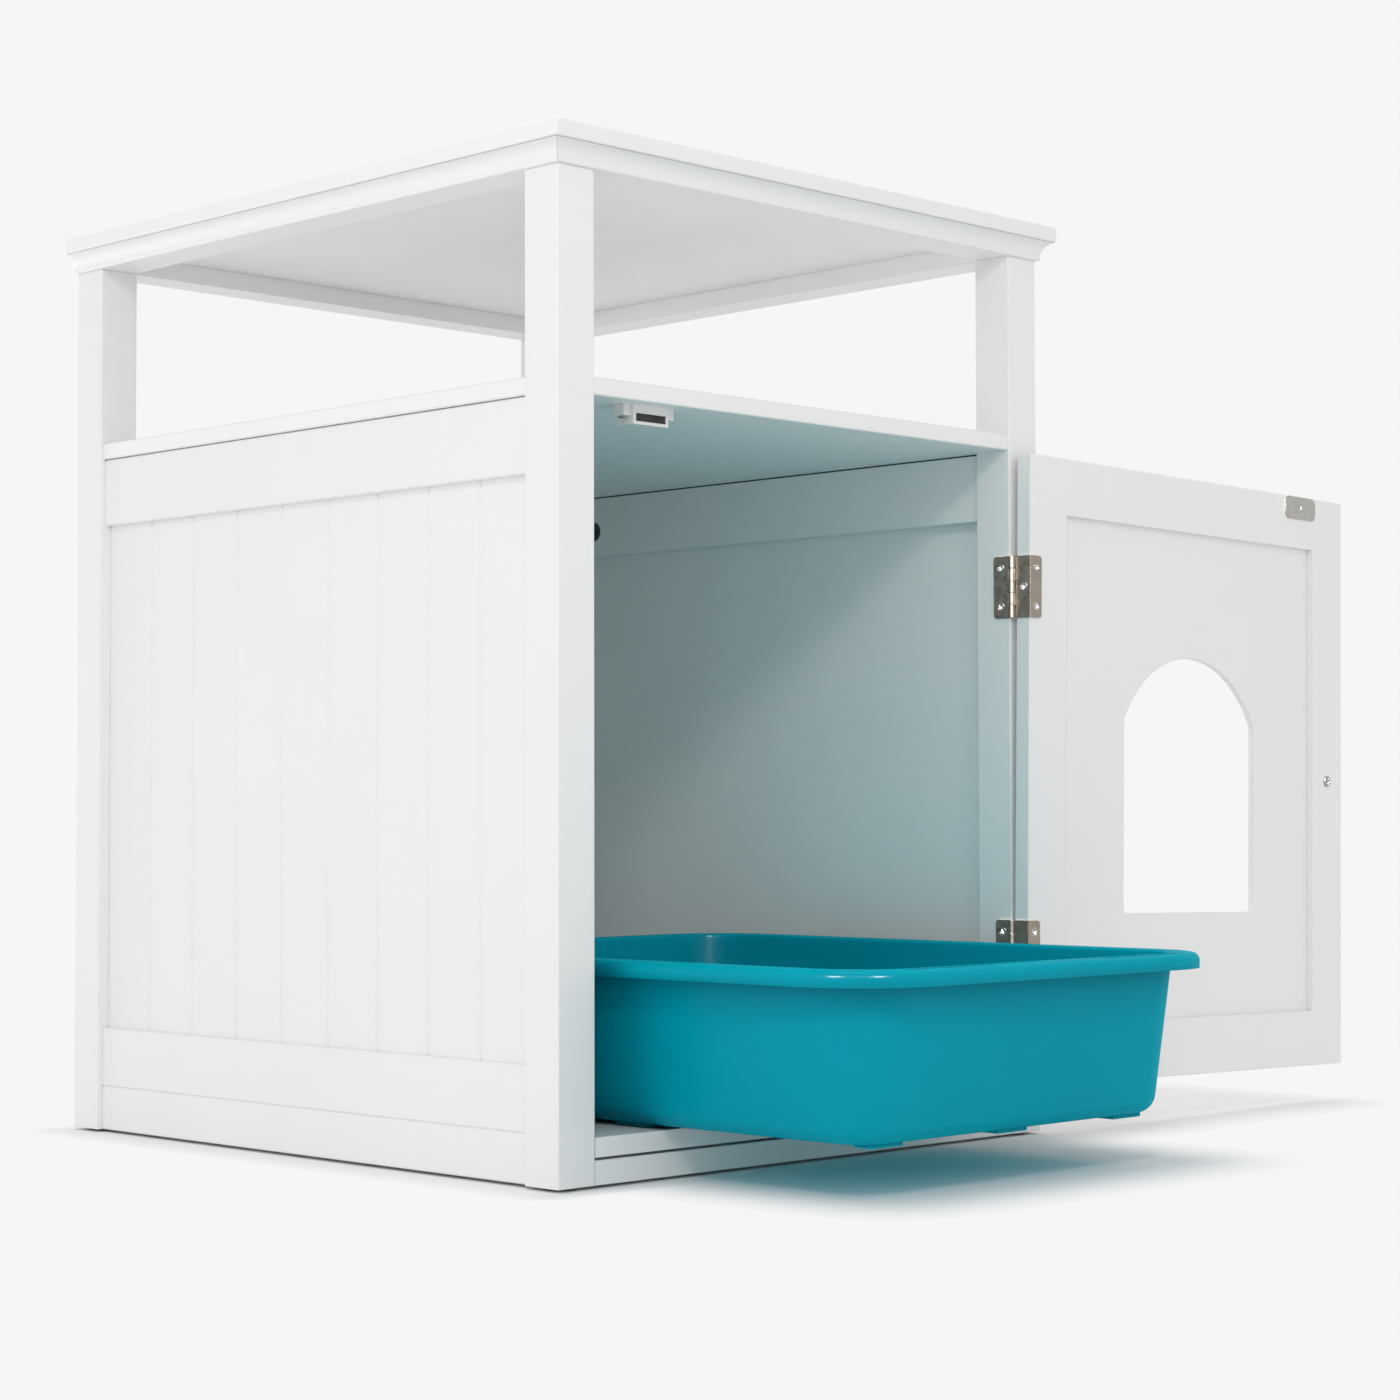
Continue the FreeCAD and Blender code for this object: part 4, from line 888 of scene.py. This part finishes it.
def screw(radius, length, domed):
    """A screw that points down -Z with its head's top at z = 0."""
    made = bmesh.new()
    loops = []
    for reach, height, face in screw_outline(-length / radius, domed):
        loop = []
        for n in range(AROUND):
            angle = 2 * math.pi * n / AROUND
            x, y = reach * math.cos(angle), reach * math.sin(angle)
            sunk = cross_depth(x, y) if face else 0.0
            loop.append(made.verts.new((x * radius, y * radius, (height - sunk) * radius)))
        loops.append(loop)
    top = made.verts.new((0, 0, -cross_depth(0, 0) * radius))
    tip = made.verts.new((0, 0, -length))
    for n in range(AROUND):
        m = (n + 1) % AROUND
        made.faces.new((top, loops[0][n], loops[0][m]))
        made.faces.new((tip, loops[-1][m], loops[-1][n]))
        for inner, outer in zip(loops, loops[1:]):
            made.faces.new((inner[n], outer[n], outer[m], inner[m]))
    bmesh.ops.recalc_face_normals(made, faces=made.faces)
    return as_mesh("one_screw", made)


# %% The screws' Geometry Nodes
FULL_TURN, TURN_SEED = 6.283, 7

screw_tree = bpy.data.node_groups.new("set_screws", "GeometryNodeTree")
screw_tree.interface.new_socket("Geometry", in_out="INPUT", socket_type="NodeSocketGeometry")
screw_inputs = {
    "Screw": socket(screw_tree, "Screw", "NodeSocketObject"),
    "Turn Seed": socket(screw_tree, "Turn Seed", "NodeSocketInt", TURN_SEED),
    "Finish": socket(screw_tree, "Finish", "NodeSocketMaterial"),
}
screw_tree.interface.new_socket("Geometry", in_out="OUTPUT", socket_type="NodeSocketGeometry")
given = add(screw_tree, "NodeGroupInput").outputs
one = add(screw_tree, "GeometryNodeObjectInfo", {"Object": given["Screw"]}).outputs["Geometry"]
way = add(screw_tree, "GeometryNodeInputNamedAttribute", {"Name": "way"}, data_type="FLOAT_VECTOR").outputs[0]
any_turn = {2: 0.0, 3: FULL_TURN, "Seed": given["Turn Seed"]}
turn = add(screw_tree, "FunctionNodeRandomValue", any_turn, data_type="FLOAT").outputs[1]
spun = add(screw_tree, "FunctionNodeAxisAngleToRotation", {"Axis": (0, 0, 1), "Angle": turn}).outputs[0]
aimed = add(screw_tree, "FunctionNodeAlignRotationToVector", {"Vector": way}, axis="Z").outputs[0]
both = {"Rotation": aimed, "Rotate By": spun}
facing = add(screw_tree, "FunctionNodeRotateRotation", both, rotation_space="LOCAL").outputs[0]
copies = {"Points": given["Geometry"], "Instance": one, "Rotation": facing}
placed = add(screw_tree, "GeometryNodeInstanceOnPoints", copies).outputs[0]
finish_group(screw_tree, placed, given["Finish"])

# %% A helper that marks the screws' places
def points_mesh(places):
    """One point for each screw, which carries the way its head looks."""
    mesh = bpy.data.meshes.new("places")
    mesh.from_pydata([head for head, way in places], [], [])
    ways = mesh.attributes.new("way", "FLOAT_VECTOR", "POINT")
    ways.data.foreach_set("vector", [v for head, way in places for v in way])
    return mesh


# %% Drive the screws
screw_pieces = []
for body, kinds in SCREW_NODES.items():
    groups = {}
    for kind, names in kinds.items():
        for head, way, radius, length in (found for name in names for found in measured[name]):
            groups.setdefault((kind, round(radius, 4), round(length, 3)), []).append((head, way))
    driven = bmesh.new()
    for (kind, radius, length), places in groups.items():
        pattern = put_in_scene(bpy.data.objects.new("one_screw", screw(radius, length, kind == "domed")))
        values = {"Screw": pattern, "Turn Seed": TURN_SEED, "Finish": finishes["zinc_steel"]}
        driven.from_mesh(grown("driven", screw_tree, screw_inputs, values, points_mesh(places)))
        bpy.data.objects.remove(pattern)
        print(body, len(places), kind, "screws,", round(2000 * radius, 1), "x", round(1000 * length, 1), "mm")
    piece = new_piece(f"{body}_screws", driven, finishes["zinc_steel"], body)
    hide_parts(*[name for names in kinds.values() for name in names])
    screw_pieces.append(piece)

# %% [markdown]
# ## The magnet
# The catch holds a bar of ferrite between two thin plates. The plates stand a hair in front of the bar and
# touch the strike plate on the door. Three softened blocks show that better than one.

# %% Build the magnet
PLATE_T, PLATE_SOFT = 0.0008, 0.00015
BAR_BEHIND, BAR_SHORTER, BAR_SOFT = 0.0005, 0.0008, 0.0002

low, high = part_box("catch_magnet")
centre, size = (low + high) / 2, high - low
magnet = bmesh.new()
bar_size = (size.x - BAR_SHORTER, size.y - BAR_BEHIND, size.z - 2 * PLATE_T)
join_into(magnet, moulded_block(centre + Vector((0, BAR_BEHIND / 2, 0)), bar_size, BAR_SOFT))
for side in (-1, 1):
    at = centre + Vector((0, 0, side * (size.z - PLATE_T) / 2))
    join_into(magnet, moulded_block(at, (size.x, size.y, PLATE_T), PLATE_SOFT))
magnet = new_piece("magnet_bar", magnet, finishes["magnet"], "cabinet", smooth=False)
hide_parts("catch_magnet")
print("magnet of", [round(1000 * v, 1) for v in size], "mm")

# %% [markdown]
# Three lamps shine on a few pieces only. The two gloss cards light the pan and the metal. The tier lamp
# hangs behind the open tier and lights the underside of the top, which bounced light from a white studio
# would reach, and not the back wall. Its light also meets the back edges of the top and of the shelf, and
# from behind they come out plain white.

# %% List the pieces for those lamps
TIER_PIECES = ("top_panel", "top_front_rail", "top_left_rail", "top_right_rail", "middle_shelf")

glossy_finishes = [finishes[name] for name in ("teal_plastic", "zinc_steel", "dark_bronze", "satin_nickel")]
for piece in [*nodes.values(), litter_pan, *screw_pieces]:
    if piece.material_slots[0].material in glossy_finishes:
        glossy_pieces.objects.link(piece)
for name in TIER_PIECES:
    tier_pieces.objects.link(nodes[name])
